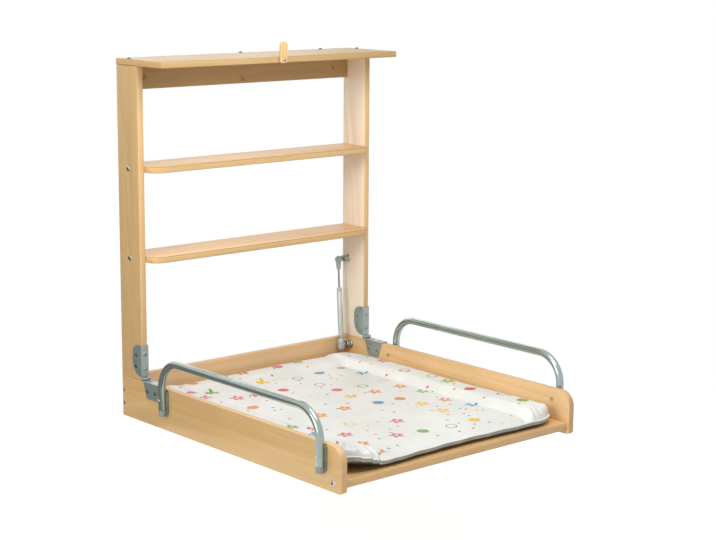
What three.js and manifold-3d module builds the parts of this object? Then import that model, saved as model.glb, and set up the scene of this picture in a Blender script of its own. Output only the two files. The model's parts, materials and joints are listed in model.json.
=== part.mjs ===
// Wall-hung fold-down changing table: a shelf frame for the wall, and a tray that folds down from it.
// Millimetres. +Z is up, +X is to the right of someone facing it, the wall is Y = 0 and the front faces -Y.
// Heights are drawn from the lower ends of the uprights, and the last lines move the origin to the wall rail.
import * as THREE from 'three';
import { mergeVertices } from 'three/addons/utils/BufferGeometryUtils.js';
import Module from 'manifold-3d';

// Boards
const width = 780; // across the outer faces of the uprights
const board = 18; // uprights, tray sides, rear board and hanging rail
const uprightDepth = 92;
const uprightHeight = 810;
const topThickness = 16;
const shelfThickness = 16;
const shelfProjection = 36; // ahead of the uprights, and the radius of the front corners
const shelfHeights = { upper: 548.5, lower: 317 }; // middle of each shelf
const railHeight = 65;
const sideHeight = 110; // tray side boards
const sideNose = 38; // radius of their upper front corners
const sideToe = 8; // radius of their lower front corners
const rearDrop = 3; // top of the rear board below the top of the sides
const floorThickness = 18;
const floorRaise = 12; // underside of the floor above the lower edges of the sides
const floorSetback = 6; // front edge of the floor behind the front ends of the sides
const grooveDepth = 6;
const grooveStop = 45; // the side grooves end this far behind the front ends
const foldClearance = 17; // folded tray below the top board
const ease = 1.5; // rounding of the board edges
const fit = 0.3; // gap between pieces that touch

// Fasteners
const shelfScrew = { shank: 2.5, length: 50, head: 6.4, rise: 1.8, socket: 3.2, sink: 1.6 };
const topScrew = { shank: 2.2, length: 45, head: 5.2, rise: 3.2, socket: 1.8, sink: 1.6 };
const rearScrew = { shank: 2.5, length: 50, head: 4.6, rise: 1.6, socket: 2.2, sink: 1.2 };
const floorScrew = { shank: 2.5, length: 55, head: 6.5, rise: 1.6, socket: 3.4, sink: 1.4 };
const topScrewInset = 93; // the second screw into the hanging rail, off the inner face of the upright
const rearScrewDrops = { upper: 38.5, lower: 74.5 };
const floorScrewSetback = 30; // behind the front ends of the sides
const dowel = { radius: 4, length: 32, back: 16 };
const wallHole = { radius: 4, inset: 52, middleDrop: 18.5 };

// Hinges
const plate = 2.5;
const knuckle = 5; // radius
const knuckleCount = 5; // odd, with the outer two on the lower leaf
const hingePin = { radius: 2.5, head: 3.8, headHeight: 1.2 };
const upperLeaf = { height: 82, depth: 38, upperCorner: 26, lowerCorner: 37 };
const lowerLeaf = { length: 70, drop: 42, taper: 14, corner: 8 };

// Guard rails
const tube = { radius: 10, wall: 1.5, bend: 72 };
const railRise = 77; // tube centre above the tray sides
const railFoot = 52.5; // lower tube end below the top of the sides
const railRearReach = 108; // rear leg ahead of the uprights
const railFrontSetback = 61; // front leg behind the front ends of the sides
const railPad = { seat: 1.5, thickness: 6, width: 24, margin: 6 }; // a saddle that the tube sits in
const railBolt = { drop: 28, shank: 3, head: 4.6, rise: 2.4, nut: 4.8, nutRise: 2 };
const plug = { depth: 12, rim: 16, edge: 1.5 }; // end cap as wide as the tube

// Gas strut
const strutInset = 35; // axis off the inner faces of the boards
const strutUpper = { back: 22, height: 226 };
const strutLower = { back: 36, drop: 24 };
const ball = { radius: 5, neck: 3 };
const upperStudForm = { flange: 12.5, foot: 4, boss: 10.5, collar: 14, cone: 3, neck: ball.neck };
const lowerStudForm = { flange: 13, foot: 4, boss: 11, collar: 13, cone: 3, neck: 5 };
const socket = { radius: 10, shank: 5.5, shankLength: 30, rodSink: 15 };
const barrel = { radius: 11, shank: 6.5, shankLength: 27, tail: 17 }; // lower socket
const strutRod = { radius: 3, visible: 51, inside: 100, piston: 5.2, pistonLength: 8 };
const strutTube = { radius: 7.5, bore: 5.6, gland: 10, base: 8, shoulder: 2 };
const pivotGap = 0.5; // lower stud beside its socket, where the linkage is opened

// Turn button, a little left of the middle
const button = {
  along: -12, width: 22, tip: 47, heel: 8, thickness: 9, spacer: 2, ease: 2, crown: 10, corner: 6,
};
const buttonScrew = { shank: 2.5, length: 32, head: 4.6, rise: 2.2, socket: 1.9, sink: 1.4 };

// Mat: side bolsters and a rear rim round a flat middle, with one front corner curled up
const mat = {
  sideGap: 8, rearGap: 13, frontGap: 11, seam: 9, middle: 27, rim: 45, rearRim: 40, frontEdge: 19,
  rimSpan: 118, rimSlope: 38, frontSpan: 70, channel: 4, channelWidth: 15, round: 0.08, edge: 0.07,
  frontDraw: 12, rearDraw: 8, sideDraw: 4, curl: 24, curlAcross: 150, curlAlong: 190, columns: 28, rows: 22,
};

// Places worked out from the sizes above
const outer = width / 2;
const inner = outer - board;
const middle = outer - board / 2;
const uprightFront = -uprightDepth;
const sideTop = -fit;
const hingeY = uprightFront - knuckle - fit;
const hingeZ = sideTop + knuckle + 2 * fit;
const trayFront = uprightFront - uprightHeight + foldClearance;
const sideBottom = sideTop - sideHeight;
const floorBottom = sideBottom + floorRaise;
const floorTop = floorBottom + floorThickness;
const floorMiddle = floorBottom + floorThickness / 2;
const foldedFloor = hingeY + floorBottom - hingeZ; // Y of the floor's underside when the tray is folded
const topFront = foldedFloor;
const topMiddle = uprightHeight + fit + topThickness / 2;
const railMiddle = uprightHeight - railHeight / 2;
const legRear = uprightFront - railRearReach;
const legFront = trayFront + railFrontSetback;
const tubeX = outer + fit + railPad.seat + fit + tube.radius;
const strutX = inner - strutInset;

const finish = {
  beech: { color: '#e6c493', roughness: 0.5, metalness: 0 },
  hinge: { color: '#8f9c98', roughness: 0.42, metalness: 0.7 },
  rail: { color: '#9aa8a4', roughness: 0.38, metalness: 0.75 },
  nickel: { color: '#c4c4be', roughness: 0.3, metalness: 1 },
  rubber: { color: '#55615d', roughness: 0.8, metalness: 0 },
  strut: { color: '#c3c6c2', roughness: 0.45, metalness: 0.35 },
  chrome: { color: '#d8dad8', roughness: 0.15, metalness: 1 },
  vinyl: { color: '#f3f2ee', roughness: 0.4, metalness: 0 },
};

const wasm = await Module();
wasm.setup();

// A closed three.js geometry as a solid, facing out whichever way its profile ran
function solidOf(geometry) {
  const bare = geometry.clone();
  bare.deleteAttribute('normal');
  bare.deleteAttribute('uv');
  const merged = mergeVertices(bare, 1e-4);
  const points = merged.attributes.position;
  const corner = (i) => new THREE.Vector3().fromBufferAttribute(points, i);
  const triangles = [];
  let volume = 0;
  for (let i = 0; i < merged.index.count; i += 3) {
    const [a, b, c] = [0, 1, 2].map((k) => merged.index.getX(i + k));
    if (a === b || b === c || c === a) continue;
    volume += corner(a).dot(corner(b).cross(corner(c)));
    triangles.push([a, b, c]);
  }
  const facing = volume < 0 ? triangles.map(([a, b, c]) => [a, c, b]) : triangles;
  return new wasm.Manifold(new wasm.Mesh({
    numProp: 3,
    vertProperties: new Float32Array(points.array),
    triVerts: new Uint32Array(facing.flat()),
  }));
}

function geometryOf(solid) {
  const mesh = solid.getMesh();
  const geometry = new THREE.BufferGeometry();
  geometry.setAttribute('position', new THREE.BufferAttribute(mesh.vertProperties, 3));
  geometry.setIndex(new THREE.BufferAttribute(mesh.triVerts, 1));
  geometry.computeVertexNormals();
  return geometry;
}

const join = (pieces) => pieces.reduce((whole, piece) => whole.add(piece));
const cut = (whole, tools) => tools.reduce((rest, tool) => rest.subtract(tool), whole);
const at = (x, y, z) => new THREE.Vector3(x, y, z);

function block(low, high) {
  const size = high.clone().sub(low);
  const box = new THREE.BoxGeometry(size.x, size.y, size.z);
  return solidOf(box.translate(low.x + size.x / 2, low.y + size.y / 2, low.z + size.z / 2));
}

// A geometry drawn along +Y, turned to a direction and carried to a place
function aimed(geometry, place, direction) {
  const turn = new THREE.Quaternion().setFromUnitVectors(at(0, 1, 0), direction.clone().normalize());
  return geometry.applyQuaternion(turn).translate(place.x, place.y, place.z);
}

function bar(radius, from, to, sides = 12) {
  const span = to.clone().sub(from);
  const round = new THREE.CylinderGeometry(radius, radius, span.length(), sides);
  return solidOf(aimed(round.translate(0, span.length() / 2, 0), from, span));
}

// A solid of revolution: radius and height pairs that start and end on the axis
function turned(profile, place, direction, sides = 16) {
  const points = profile.map(([radius, height]) => new THREE.Vector2(radius, height));
  return solidOf(aimed(new THREE.LatheGeometry(points, sides), place, direction));
}

// An outline with rounded corners: each corner is x, y and a radius
function outline(corners) {
  const shape = new THREE.Shape();
  corners.forEach(([x, y, radius = 0], i) => {
    const [px, py] = corners.at(i - 1);
    const [nx, ny] = corners[(i + 1) % corners.length];
    const here = new THREE.Vector2(x, y);
    const back = new THREE.Vector2(px, py).sub(here).normalize();
    const ahead = new THREE.Vector2(nx, ny).sub(here).normalize();
    const half = Math.acos(THREE.MathUtils.clamp(back.dot(ahead), -1, 1)) / 2;
    const run = radius / Math.tan(half);
    const start = here.clone().addScaledVector(back, run);
    const end = here.clone().addScaledVector(ahead, run);
    if (i === 0) shape.moveTo(start.x, start.y);
    else shape.lineTo(start.x, start.y);
    if (radius > 0) {
      const bow = here.clone().addScaledVector(back.add(ahead).normalize(), radius / Math.sin(half));
      const from = Math.atan2(start.y - bow.y, start.x - bow.x);
      const to = Math.atan2(end.y - bow.y, end.x - bow.x);
      shape.absarc(bow.x, bow.y, radius, from, to, Math.sin(to - from) < 0);
    }
  });
  shape.closePath();
  return shape;
}

// A board of an outline, with eased edges, lying from 0 to its thickness along +Z
function slab(shape, thickness, rounding = ease) {
  return new THREE.ExtrudeGeometry(shape, {
    depth: thickness - 2 * rounding,
    bevelEnabled: rounding > 0,
    bevelThickness: rounding,
    bevelSize: rounding,
    bevelOffset: -rounding,
    bevelSegments: 2,
    curveSegments: 5,
  }).translate(0, 0, rounding);
}

// The same board standing: across X with its outline in Y and Z, or across Y with its outline in X and Z
const acrossX = new THREE.Matrix4().makeBasis(at(0, 1, 0), at(0, 0, 1), at(1, 0, 0));
const acrossY = new THREE.Matrix4().makeBasis(at(1, 0, 0), at(0, 0, 1), at(0, -1, 0));
const flat = (shape, thickness, z, rounding) => solidOf(slab(shape, thickness, rounding).translate(0, 0, z));

function standing(shape, thickness, x, rounding) {
  return solidOf(slab(shape, thickness, rounding).applyMatrix4(acrossX).translate(x, 0, 0));
}

function facing(shape, thickness, y, rounding) {
  return solidOf(slab(shape, thickness, rounding).applyMatrix4(acrossY).translate(0, y, 0));
}

const rectangle = (x0, y0, x1, y1, radius = 0) => outline([
  [x0, y0, radius], [x1, y0, radius], [x1, y1, radius], [x0, y1, radius],
]);

// A screw from the underside of its head at a place, driven along a direction, and the hole it runs in
function screw(kind, place, direction) {
  const { shank, length, head, rise, socket: recess, sink } = kind;
  return turned([
    [0, -length], [shank, -length + shank], [shank, fit], [head, fit], [head, fit + rise / 2],
    [head * 0.8, fit + rise], [recess, fit + rise], [recess, fit + rise - sink], [0, fit + rise - sink],
  ], place, direction.clone().negate(), 12);
}

function screwHole(kind, place, direction) {
  const end = place.clone().addScaledVector(direction, kind.length + fit);
  return bar(kind.shank + fit, place.clone().addScaledVector(direction, -1), end);
}

const sides = [{ name: 'left', sign: -1 }, { name: 'right', sign: 1 }];
const shelves = Object.entries(shelfHeights);

// Where the fasteners sit, with the direction that each is driven in
const shelfScrewAt = (sign, z) => at(sign * outer, uprightFront / 2, z);
const inward = (sign) => at(-sign, 0, 0);
const down = at(0, 0, -1);
const topScrews = {
  left: at(-middle, uprightFront / 2, uprightHeight + fit + topThickness),
  middle: at(0, -board / 2, uprightHeight + fit + topThickness),
  rail: at(inner - topScrewInset, -board / 2, uprightHeight + fit + topThickness),
  right: at(middle, uprightFront / 2, uprightHeight + fit + topThickness),
};
const rearScrews = Object.entries(rearScrewDrops);
const rearScrewAt = (sign, drop) => at(sign * outer, -board / 2, -drop);
const floorScrewAt = (sign) => at(sign * outer, trayFront + floorScrewSetback, floorMiddle);
const legs = { rear: legRear, front: legFront };

// Dowels lie across X, centred on the faces where two boards meet
const dowelPlaces = sides.flatMap(({ name, sign }) => [
  ...shelves.map(([shelf, z]) => ({ name: `${shelf}_shelf_${name}_dowel`, sign, y: -dowel.back, z })),
  { name: `hanging_rail_${name}_dowel`, sign, y: -board / 2, z: railMiddle },
]);

function dowelBar({ sign, y, z }, gap) {
  const half = dowel.length / 2 + gap;
  const end = Math.min(half, board - 2 * ease);
  return bar(dowel.radius + gap, at(sign * (inner - half), y, z), at(sign * (inner + end), y, z), 10);
}

const dowelHoles = () => dowelPlaces.map((place) => dowelBar(place, fit));

function upright(sign) {
  const shape = rectangle(uprightFront, 0, 0, uprightHeight);
  const body = standing(shape, board, sign < 0 ? -outer : inner);
  const screws = shelves.map(([, z]) => screwHole(shelfScrew, shelfScrewAt(sign, z), inward(sign)));
  const tops = Object.values(topScrews).map((place) => screwHole(topScrew, place, down));
  return cut(body, [...screws, ...tops, ...dowelHoles()]);
}

const buttonPivot = at(button.along, topFront, topMiddle);
const buttonFace = button.spacer + 2 * fit; // back of the button ahead of the top board
const buttonScrewSeat = at(button.along, topFront - buttonFace - button.thickness, topMiddle);
const backward = at(0, 1, 0);

function topBoard() {
  const shape = rectangle(-outer, topFront, outer, 0);
  const body = flat(shape, topThickness, uprightHeight + fit);
  const tops = Object.values(topScrews).map((place) => screwHole(topScrew, place, down));
  return cut(body, [...tops, screwHole(buttonScrew, buttonScrewSeat, backward)]);
}

// The wall rail, with its three holes countersunk from the front
const wallHoles = [
  at(wallHole.inset - inner, 0, railMiddle),
  at(0, 0, railMiddle - wallHole.middleDrop),
  at(inner - wallHole.inset, 0, railMiddle),
];

function hangingRail() {
  const half = inner - fit;
  const shape = rectangle(-half, uprightHeight - railHeight, half, uprightHeight);
  const body = facing(shape, board, 0);
  const sunk = wallHoles.map((place) => turned([
    [0, -fit], [wallHole.radius, -fit], [wallHole.radius, board - wallHole.radius],
    [wallHole.radius * 2, board], [wallHole.radius * 2, board + fit], [0, board + fit],
  ], place, at(0, -1, 0)));
  const tops = Object.values(topScrews).map((place) => screwHole(topScrew, place, down));
  return cut(body, [...sunk, ...tops, ...dowelHoles()]);
}

function shelf(z) {
  const half = inner - fit;
  const front = uprightFront - shelfProjection;
  const shape = outline([
    [-half, front, shelfProjection], [half, front, shelfProjection], [half, 0], [-half, 0],
  ]);
  const body = flat(shape, shelfThickness, z - shelfThickness / 2);
  const screws = sides.map(({ sign }) => screwHole(shelfScrew, shelfScrewAt(sign, z), inward(sign)));
  return cut(body, [...screws, ...dowelHoles()]);
}

// Tray boards. The floor panel runs in grooves in the sides and the rear board.
function sideBoard(sign) {
  const shape = outline([
    [trayFront, sideBottom, sideToe], [0, sideBottom], [0, sideTop], [trayFront, sideTop, sideNose],
  ]);
  const body = standing(shape, board, sign < 0 ? -outer : inner);
  const groove = block(
    at(-inner - grooveDepth, trayFront + grooveStop, floorBottom - fit),
    at(inner + grooveDepth, -board + grooveDepth, floorTop + fit),
  );
  const boltLine = (x, y) => at(sign * x, y, -railBolt.drop);
  const bolts = Object.values(legs).map(
    (y) => bar(railBolt.shank + fit, boltLine(inner - 1, y), boltLine(outer + 1, y)),
  );
  const screws = rearScrews.map(([, drop]) => screwHole(rearScrew, rearScrewAt(sign, drop), inward(sign)));
  return cut(body, [groove, ...bolts, ...screws, screwHole(floorScrew, floorScrewAt(sign), inward(sign))]);
}

function rearBoard() {
  const half = inner - fit;
  const body = facing(rectangle(-half, sideBottom, half, sideTop - rearDrop), board, 0);
  const groove = block(
    at(-width, -board - 1, floorBottom - fit), at(width, -board + grooveDepth, floorTop + fit),
  );
  const screws = sides.flatMap(({ sign }) => rearScrews.map(
    ([, drop]) => screwHole(rearScrew, rearScrewAt(sign, drop), inward(sign)),
  ));
  return cut(body, [groove, ...screws]);
}

function floorPanel() {
  const half = inner - fit;
  const tongue = half + grooveDepth;
  const front = trayFront + floorSetback;
  const shoulder = trayFront + grooveStop + fit;
  const back = -board + grooveDepth - fit;
  const shape = outline([
    [-half, front], [half, front], [half, shoulder], [tongue, shoulder],
    [tongue, back], [-tongue, back], [-tongue, shoulder], [-half, shoulder],
  ]);
  const body = flat(shape, floorThickness, floorBottom, 1);
  return cut(body, sides.map(({ sign }) => screwHole(floorScrew, floorScrewAt(sign), inward(sign))));
}

// Hinges. Each leaf is a channel that wraps the edge of its board, with knuckles on a common pin.
const hingeHalf = board / 2 + fit + plate;
const knuckleStep = (2 * hingeHalf) / knuckleCount;

// A channel's section: the web across the board's edge and a flange down each face
function channel(depth) {
  const gap = board / 2 + fit;
  return outline([
    [-hingeHalf, -plate, plate], [hingeHalf, -plate, plate], [hingeHalf, depth], [gap, depth],
    [gap, 0], [-gap, 0], [-gap, depth], [-hingeHalf, depth],
  ]);
}

function knuckleBar(x, index) {
  const left = x - hingeHalf + index * knuckleStep;
  const start = left + (index > 0 ? fit / 2 : 0);
  const end = left + knuckleStep - (index < knuckleCount - 1 ? fit / 2 : 0);
  return { start, end, body: bar(knuckle, at(start, hingeY, hingeZ), at(end, hingeY, hingeZ), 14) };
}

// Even knuckles are the lower leaf's, odd ones the upper leaf's
const knuckles = (x, parity) => Array.from({ length: knuckleCount }, (_, i) => i)
  .filter((i) => i % 2 === parity)
  .map((i) => knuckleBar(x, i));

const pinHole = (x) => bar(
  hingePin.radius + fit, at(x - hingeHalf - 1, hingeY, hingeZ), at(x + hingeHalf + 1, hingeY, hingeZ),
);

function hingeUpperLeaf(x) {
  const low = hingeZ + knuckle + fit;
  const high = low + upperLeaf.height;
  const face = uprightFront - fit;
  const wrap = new THREE.ExtrudeGeometry(channel(upperLeaf.depth), {
    depth: upperLeaf.height, bevelEnabled: false, curveSegments: 4,
  }).translate(x, face, low);
  const cheek = outline([
    [face - plate - 1, low], [face + upperLeaf.depth, low, upperLeaf.lowerCorner],
    [face + upperLeaf.depth, high, upperLeaf.upperCorner], [face - plate - 1, high],
  ]);
  const profile = standing(cheek, 2 * hingeHalf + 2, x - hingeHalf - 1, 0);
  const rolls = knuckles(x, 1);
  const tabs = rolls.map(
    ({ start, end }) => block(at(start, face - plate, hingeZ), at(end, face, low + plate)),
  );
  const leaf = solidOf(wrap).intersect(profile);
  return cut(join([leaf, ...tabs, ...rolls.map((roll) => roll.body)]), [pinHole(x)]);
}

function hingeLowerLeaf(x) {
  const back = hingeY - knuckle - fit;
  const front = back - lowerLeaf.length;
  const face = sideTop + fit;
  const wrap = new THREE.ExtrudeGeometry(channel(lowerLeaf.drop), {
    depth: lowerLeaf.length, bevelEnabled: false, curveSegments: 4,
  }).applyMatrix4(new THREE.Matrix4().makeBasis(at(1, 0, 0), at(0, 0, -1), at(0, 1, 0)));
  const low = face - lowerLeaf.drop;
  const cheek = outline([
    [front, face + plate + 1], [front, face - plate, lowerLeaf.corner],
    [front + lowerLeaf.taper, low, lowerLeaf.corner], [back - lowerLeaf.taper, low, lowerLeaf.corner],
    [back, face - plate, lowerLeaf.corner], [back, face + plate + 1],
  ]);
  const profile = standing(cheek, 2 * hingeHalf + 2, x - hingeHalf - 1, 0);
  const body = solidOf(wrap.translate(x, front, face)).intersect(profile);
  const rolls = knuckles(x, 0);
  const tabs = rolls.map(
    ({ start, end }) => block(at(start, back - plate, face), at(end, hingeY, face + plate)),
  );
  return cut(join([body, ...tabs, ...rolls.map((roll) => roll.body)]), [pinHole(x)]);
}

function pin(x) {
  const { radius, head, headHeight } = hingePin;
  const half = hingeHalf + fit;
  return turned([
    [0, -half - headHeight], [head, -half - headHeight], [head, -half], [radius, -half],
    [radius, half], [head, half], [head, half + headHeight], [0, half + headHeight],
  ], at(x, hingeY, hingeZ), at(1, 0, 0), 14);
}

// Guard rails: a bent tube along two legs and a bar, with a step for each straight run and several for a bend
class BentRail extends THREE.Curve {
  constructor(x) {
    super();
    const { bend } = tube;
    const top = railRise - bend;
    this.bendSteps = 7;
    this.stations = [{ place: at(x, legRear, -railFoot), heading: at(0, 0, 1) }];
    for (let i = 0; i <= this.bendSteps; i += 1) {
      const turn = (i / this.bendSteps) * (Math.PI / 2);
      const place = at(x, legRear - bend + bend * Math.cos(turn), top + bend * Math.sin(turn));
      this.stations.push({ place, heading: at(0, -Math.sin(turn), Math.cos(turn)) });
    }
    for (let i = 0; i <= this.bendSteps; i += 1) {
      const turn = (i / this.bendSteps) * (Math.PI / 2);
      const place = at(x, legFront + bend - bend * Math.sin(turn), top + bend * Math.cos(turn));
      this.stations.push({ place, heading: at(0, -Math.cos(turn), -Math.sin(turn)) });
    }
    this.stations.push({ place: at(x, legFront, -railFoot), heading: at(0, 0, -1) });
  }

  get steps() {
    return this.stations.length - 1;
  }

  getPointAt(u) {
    return this.stations[Math.round(u * this.steps)].place.clone();
  }

  getTangentAt(u) {
    return this.stations[Math.round(u * this.steps)].heading.clone();
  }
}

function ring(radius, hole) {
  const shape = new THREE.Shape();
  shape.absarc(0, 0, radius, 0, 2 * Math.PI, false);
  const bore = new THREE.Path();
  bore.absarc(0, 0, hole, 0, 2 * Math.PI, true);
  shape.holes.push(bore);
  return shape;
}

function guardRail(sign) {
  const path = new BentRail(sign * tubeX);
  const body = solidOf(new THREE.ExtrudeGeometry(ring(tube.radius, tube.radius - tube.wall), {
    steps: path.steps, extrudePath: path, curveSegments: 8,
  }));
  const past = tubeX + 2 * tube.radius;
  return cut(body, Object.values(legs).map((y) => bar(
    railBolt.shank + fit, at(sign * outer, y, -railBolt.drop), at(sign * past, y, -railBolt.drop),
  )));
}

// A saddle between the board and a leg, hollowed for the tube
function pad(sign, y) {
  const low = -railFoot - plug.rim + railPad.margin;
  const high = sideTop - railPad.margin;
  const half = railPad.width / 2;
  const shape = rectangle(y - half, low, y + half, high);
  const x = sign * (outer + fit + railPad.thickness / 2) - railPad.thickness / 2;
  const seatLine = (z) => at(sign * tubeX, y, z);
  const seat = bar(tube.radius + fit, seatLine(low - railPad.margin), seatLine(sideTop), 32);
  const boltLine = (end) => at(sign * end, y, -railBolt.drop);
  const hole = bar(railBolt.shank + fit, boltLine(outer), boltLine(tubeX));
  return cut(standing(shape, railPad.thickness, x, 0), [seat, hole]);
}

// A through bolt with a domed head on the tube and a round nut on the inner face of the board
function bolt(sign, y) {
  const { shank, head, rise, nut, nutRise, drop } = railBolt;
  const grip = tubeX + tube.radius - inner;
  return turned([
    [0, -fit - nutRise], [nut * 0.8, -fit - nutRise], [nut, -fit - nutRise / 2], [nut, -fit], [shank, -fit],
    [shank, grip + fit], [head, grip + fit], [head * 0.85, grip + fit + rise * 0.6],
    [head * 0.45, grip + fit + rise], [0, grip + fit + rise],
  ], at(sign * inner, y, -drop), at(sign, 0, 0), 12);
}

function endPlug(sign, y) {
  const core = tube.radius - tube.wall - fit;
  const low = -plug.rim - fit;
  return turned([
    [0, low], [tube.radius - plug.edge, low], [tube.radius, low + plug.edge], [tube.radius, -fit],
    [core, -fit], [core, plug.depth - plug.edge], [core - plug.edge, plug.depth], [0, plug.depth],
  ], at(sign * tubeX, y, -railFoot), at(0, 0, 1));
}

// Gas strut, drawn hanging down from its upper ball and then turned to point at the lower one
const strutTop = at(strutX, -strutUpper.back, strutUpper.height);
const strutEnd = at(strutX, -strutLower.back, -strutLower.drop);
const strutLength = strutTop.distanceTo(strutEnd);
const strutLean = Math.atan2(strutEnd.y - strutTop.y, strutTop.z - strutEnd.z);
const rodTop = -socket.shankLength; // where the rod leaves its socket
const tubeTop = rodTop - strutRod.visible;
const tubeEnd = -strutLength + barrel.shankLength;

function ballArc(centre, from, to, steps = 7) {
  return Array.from({ length: steps + 1 }, (_, i) => {
    const turn = from + ((to - from) * i) / steps;
    return [ball.radius * Math.sin(turn), centre - ball.radius * Math.cos(turn)];
  });
}

// A stud's flange on the board, its boss and the cone down to its neck
function studFoot({ flange, foot, boss, collar, cone, neck }) {
  return [
    [0, fit], [flange, fit], [flange, foot - ease], [flange - ease, foot],
    [boss, foot], [boss, foot + collar], [neck, foot + collar + cone],
  ];
}

function upperStud() {
  const waist = Math.asin(ball.neck / ball.radius);
  const profile = [...studFoot(upperStudForm), ...ballArc(strutInset, waist, Math.PI)];
  return turned(profile, at(inner, strutTop.y, strutTop.z), at(-1, 0, 0));
}

// The lower stud ends beside its socket, which leaves the folding linkage open at this pivot
function lowerStud() {
  const end = strutInset - barrel.radius - pivotGap;
  const profile = [...studFoot(lowerStudForm), [lowerStudForm.neck, end], [0, end]];
  return turned(profile, at(inner, strutEnd.y, strutEnd.z), at(-1, 0, 0));
}

function upperSocket() {
  const { radius, shank, shankLength, rodSink } = socket;
  const housing = solidOf(new THREE.SphereGeometry(radius, 16, 10));
  const stem = turned([
    [0, 0], [radius - ease, 0], [shank, shankLength - fit], [0, shankLength - fit],
  ], at(0, 0, 0), down);
  const seat = solidOf(new THREE.SphereGeometry(ball.radius + fit, 12, 8));
  const mouth = bar(ball.neck + 3 * fit, at(0, 0, 0), at(radius + 1, 0, 0));
  const rodSeat = bar(strutRod.radius + fit, at(0, 0, rodSink - shankLength), at(0, 0, -shankLength - 1));
  return cut(join([housing, stem]), [seat, mouth, rodSeat]);
}

function strutRodSolid() {
  const { radius, visible, inside, piston, pistonLength } = strutRod;
  const start = socket.shankLength - socket.rodSink + fit;
  const end = socket.shankLength + visible + inside;
  return turned([
    [0, start], [radius, start], [radius, end - pistonLength], [piston, end - pistonLength],
    [piston, end], [0, end],
  ], at(0, 0, 0), down);
}

function strutCylinder() {
  const { radius, bore, gland, base, shoulder } = strutTube;
  const rodGap = strutRod.radius + fit;
  const [top, end] = [-tubeTop, -tubeEnd];
  return turned([
    [rodGap, top], [radius - shoulder, top], [radius, top + shoulder],
    [radius, end - ease], [radius - ease, end], [0, end],
    [0, end - base], [bore, end - base], [bore, top + gland], [rodGap, top + gland], [rodGap, top],
  ], at(0, 0, 0), down);
}

function lowerSocket() {
  const { radius, shank, shankLength, tail } = barrel;
  const drop = -strutLength;
  const stem = bar(shank, at(0, 0, drop + shankLength - fit), at(0, 0, drop), 16);
  const housing = bar(radius, at(0, 0, drop + radius), at(0, 0, drop - tail + radius), 16);
  const caps = [drop + radius, drop - tail + radius].map(
    (z) => solidOf(new THREE.SphereGeometry(radius, 16, 10).rotateX(Math.PI / 2).translate(0, 0, z)),
  );
  return join([stem, housing, ...caps]);
}

// Turn button, drawn pointing up
function turnButton() {
  const half = button.width / 2;
  const [low, high] = [topMiddle - button.heel, topMiddle + button.tip];
  const { along, corner, crown } = button;
  const shape = outline([
    [along - half, low, corner], [along + half, low, corner],
    [along + half, high, crown], [along - half, high, crown],
  ]);
  const body = facing(shape, button.thickness, topFront - buttonFace, button.ease);
  return cut(body, [screwHole(buttonScrew, buttonScrewSeat, backward)]);
}

function buttonSpacer() {
  const hole = buttonScrew.shank + fit;
  const rim = buttonScrew.head + 1.5;
  return turned([
    [hole, fit], [rim, fit], [rim, fit + button.spacer], [hole, fit + button.spacer], [hole, fit],
  ], buttonPivot, at(0, -1, 0));
}

// Mat: a padded sheet over a grid from -1 to 1 across and along, with its seam round the edge
const matHalf = inner - mat.sideGap;
const matBack = -board - mat.rearGap;
const matFront = trayFront + floorSetback + mat.frontGap;
const matHalfDepth = (matBack - matFront) / 2;
const blend = (value, from, to) => THREE.MathUtils.smoothstep(value, from, to);

// Distances of a grid point from the side, rear and front edges
const matReach = (across, along) => ({
  side: matHalf * (1 - Math.abs(across)),
  rear: matHalfDepth * (1 - along),
  front: matHalfDepth * (1 + along),
});

function matHeight(across, along) {
  const { side, rear, front } = matReach(across, along);
  const top = mat.rimSpan - mat.rimSlope;
  const sideRim = (mat.rim - mat.middle) * (1 - blend(side, top, mat.rimSpan));
  const rearRim = (mat.rearRim - mat.middle) * (1 - blend(rear, top, mat.rimSpan));
  const sewn = (gap) => mat.channel * Math.exp(-(((gap - mat.rimSpan) / mat.channelWidth) ** 2));
  const nearFront = (1 - blend(front, 0, mat.frontSpan)) * blend(side, 0, mat.rimSpan);
  const thinner = (mat.middle - mat.frontEdge) * nearFront;
  return mat.middle + Math.max(sideRim, rearRim) - Math.max(sewn(side), sewn(rear)) - thinner;
}

// The left front corner stands clear of the floor
function matLift(across, along) {
  const { side, front } = matReach(across, along);
  const raise = (1 - blend(side, 0, mat.curlAcross)) * (1 - blend(front, 0, mat.curlAlong));
  return across < 0 ? mat.curl * raise : 0;
}

function matPlan(across, along) {
  const draw = along < 0 ? mat.frontDraw : mat.rearDraw;
  const half = matHalf - mat.sideDraw * (1 - along ** 2);
  const depth = matHalfDepth - draw * (1 - across ** 2);
  return {
    x: half * across * (1 - mat.round * along ** 8),
    y: (matBack + matFront) / 2 + depth * along * (1 - mat.round * across ** 8),
  };
}

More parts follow.
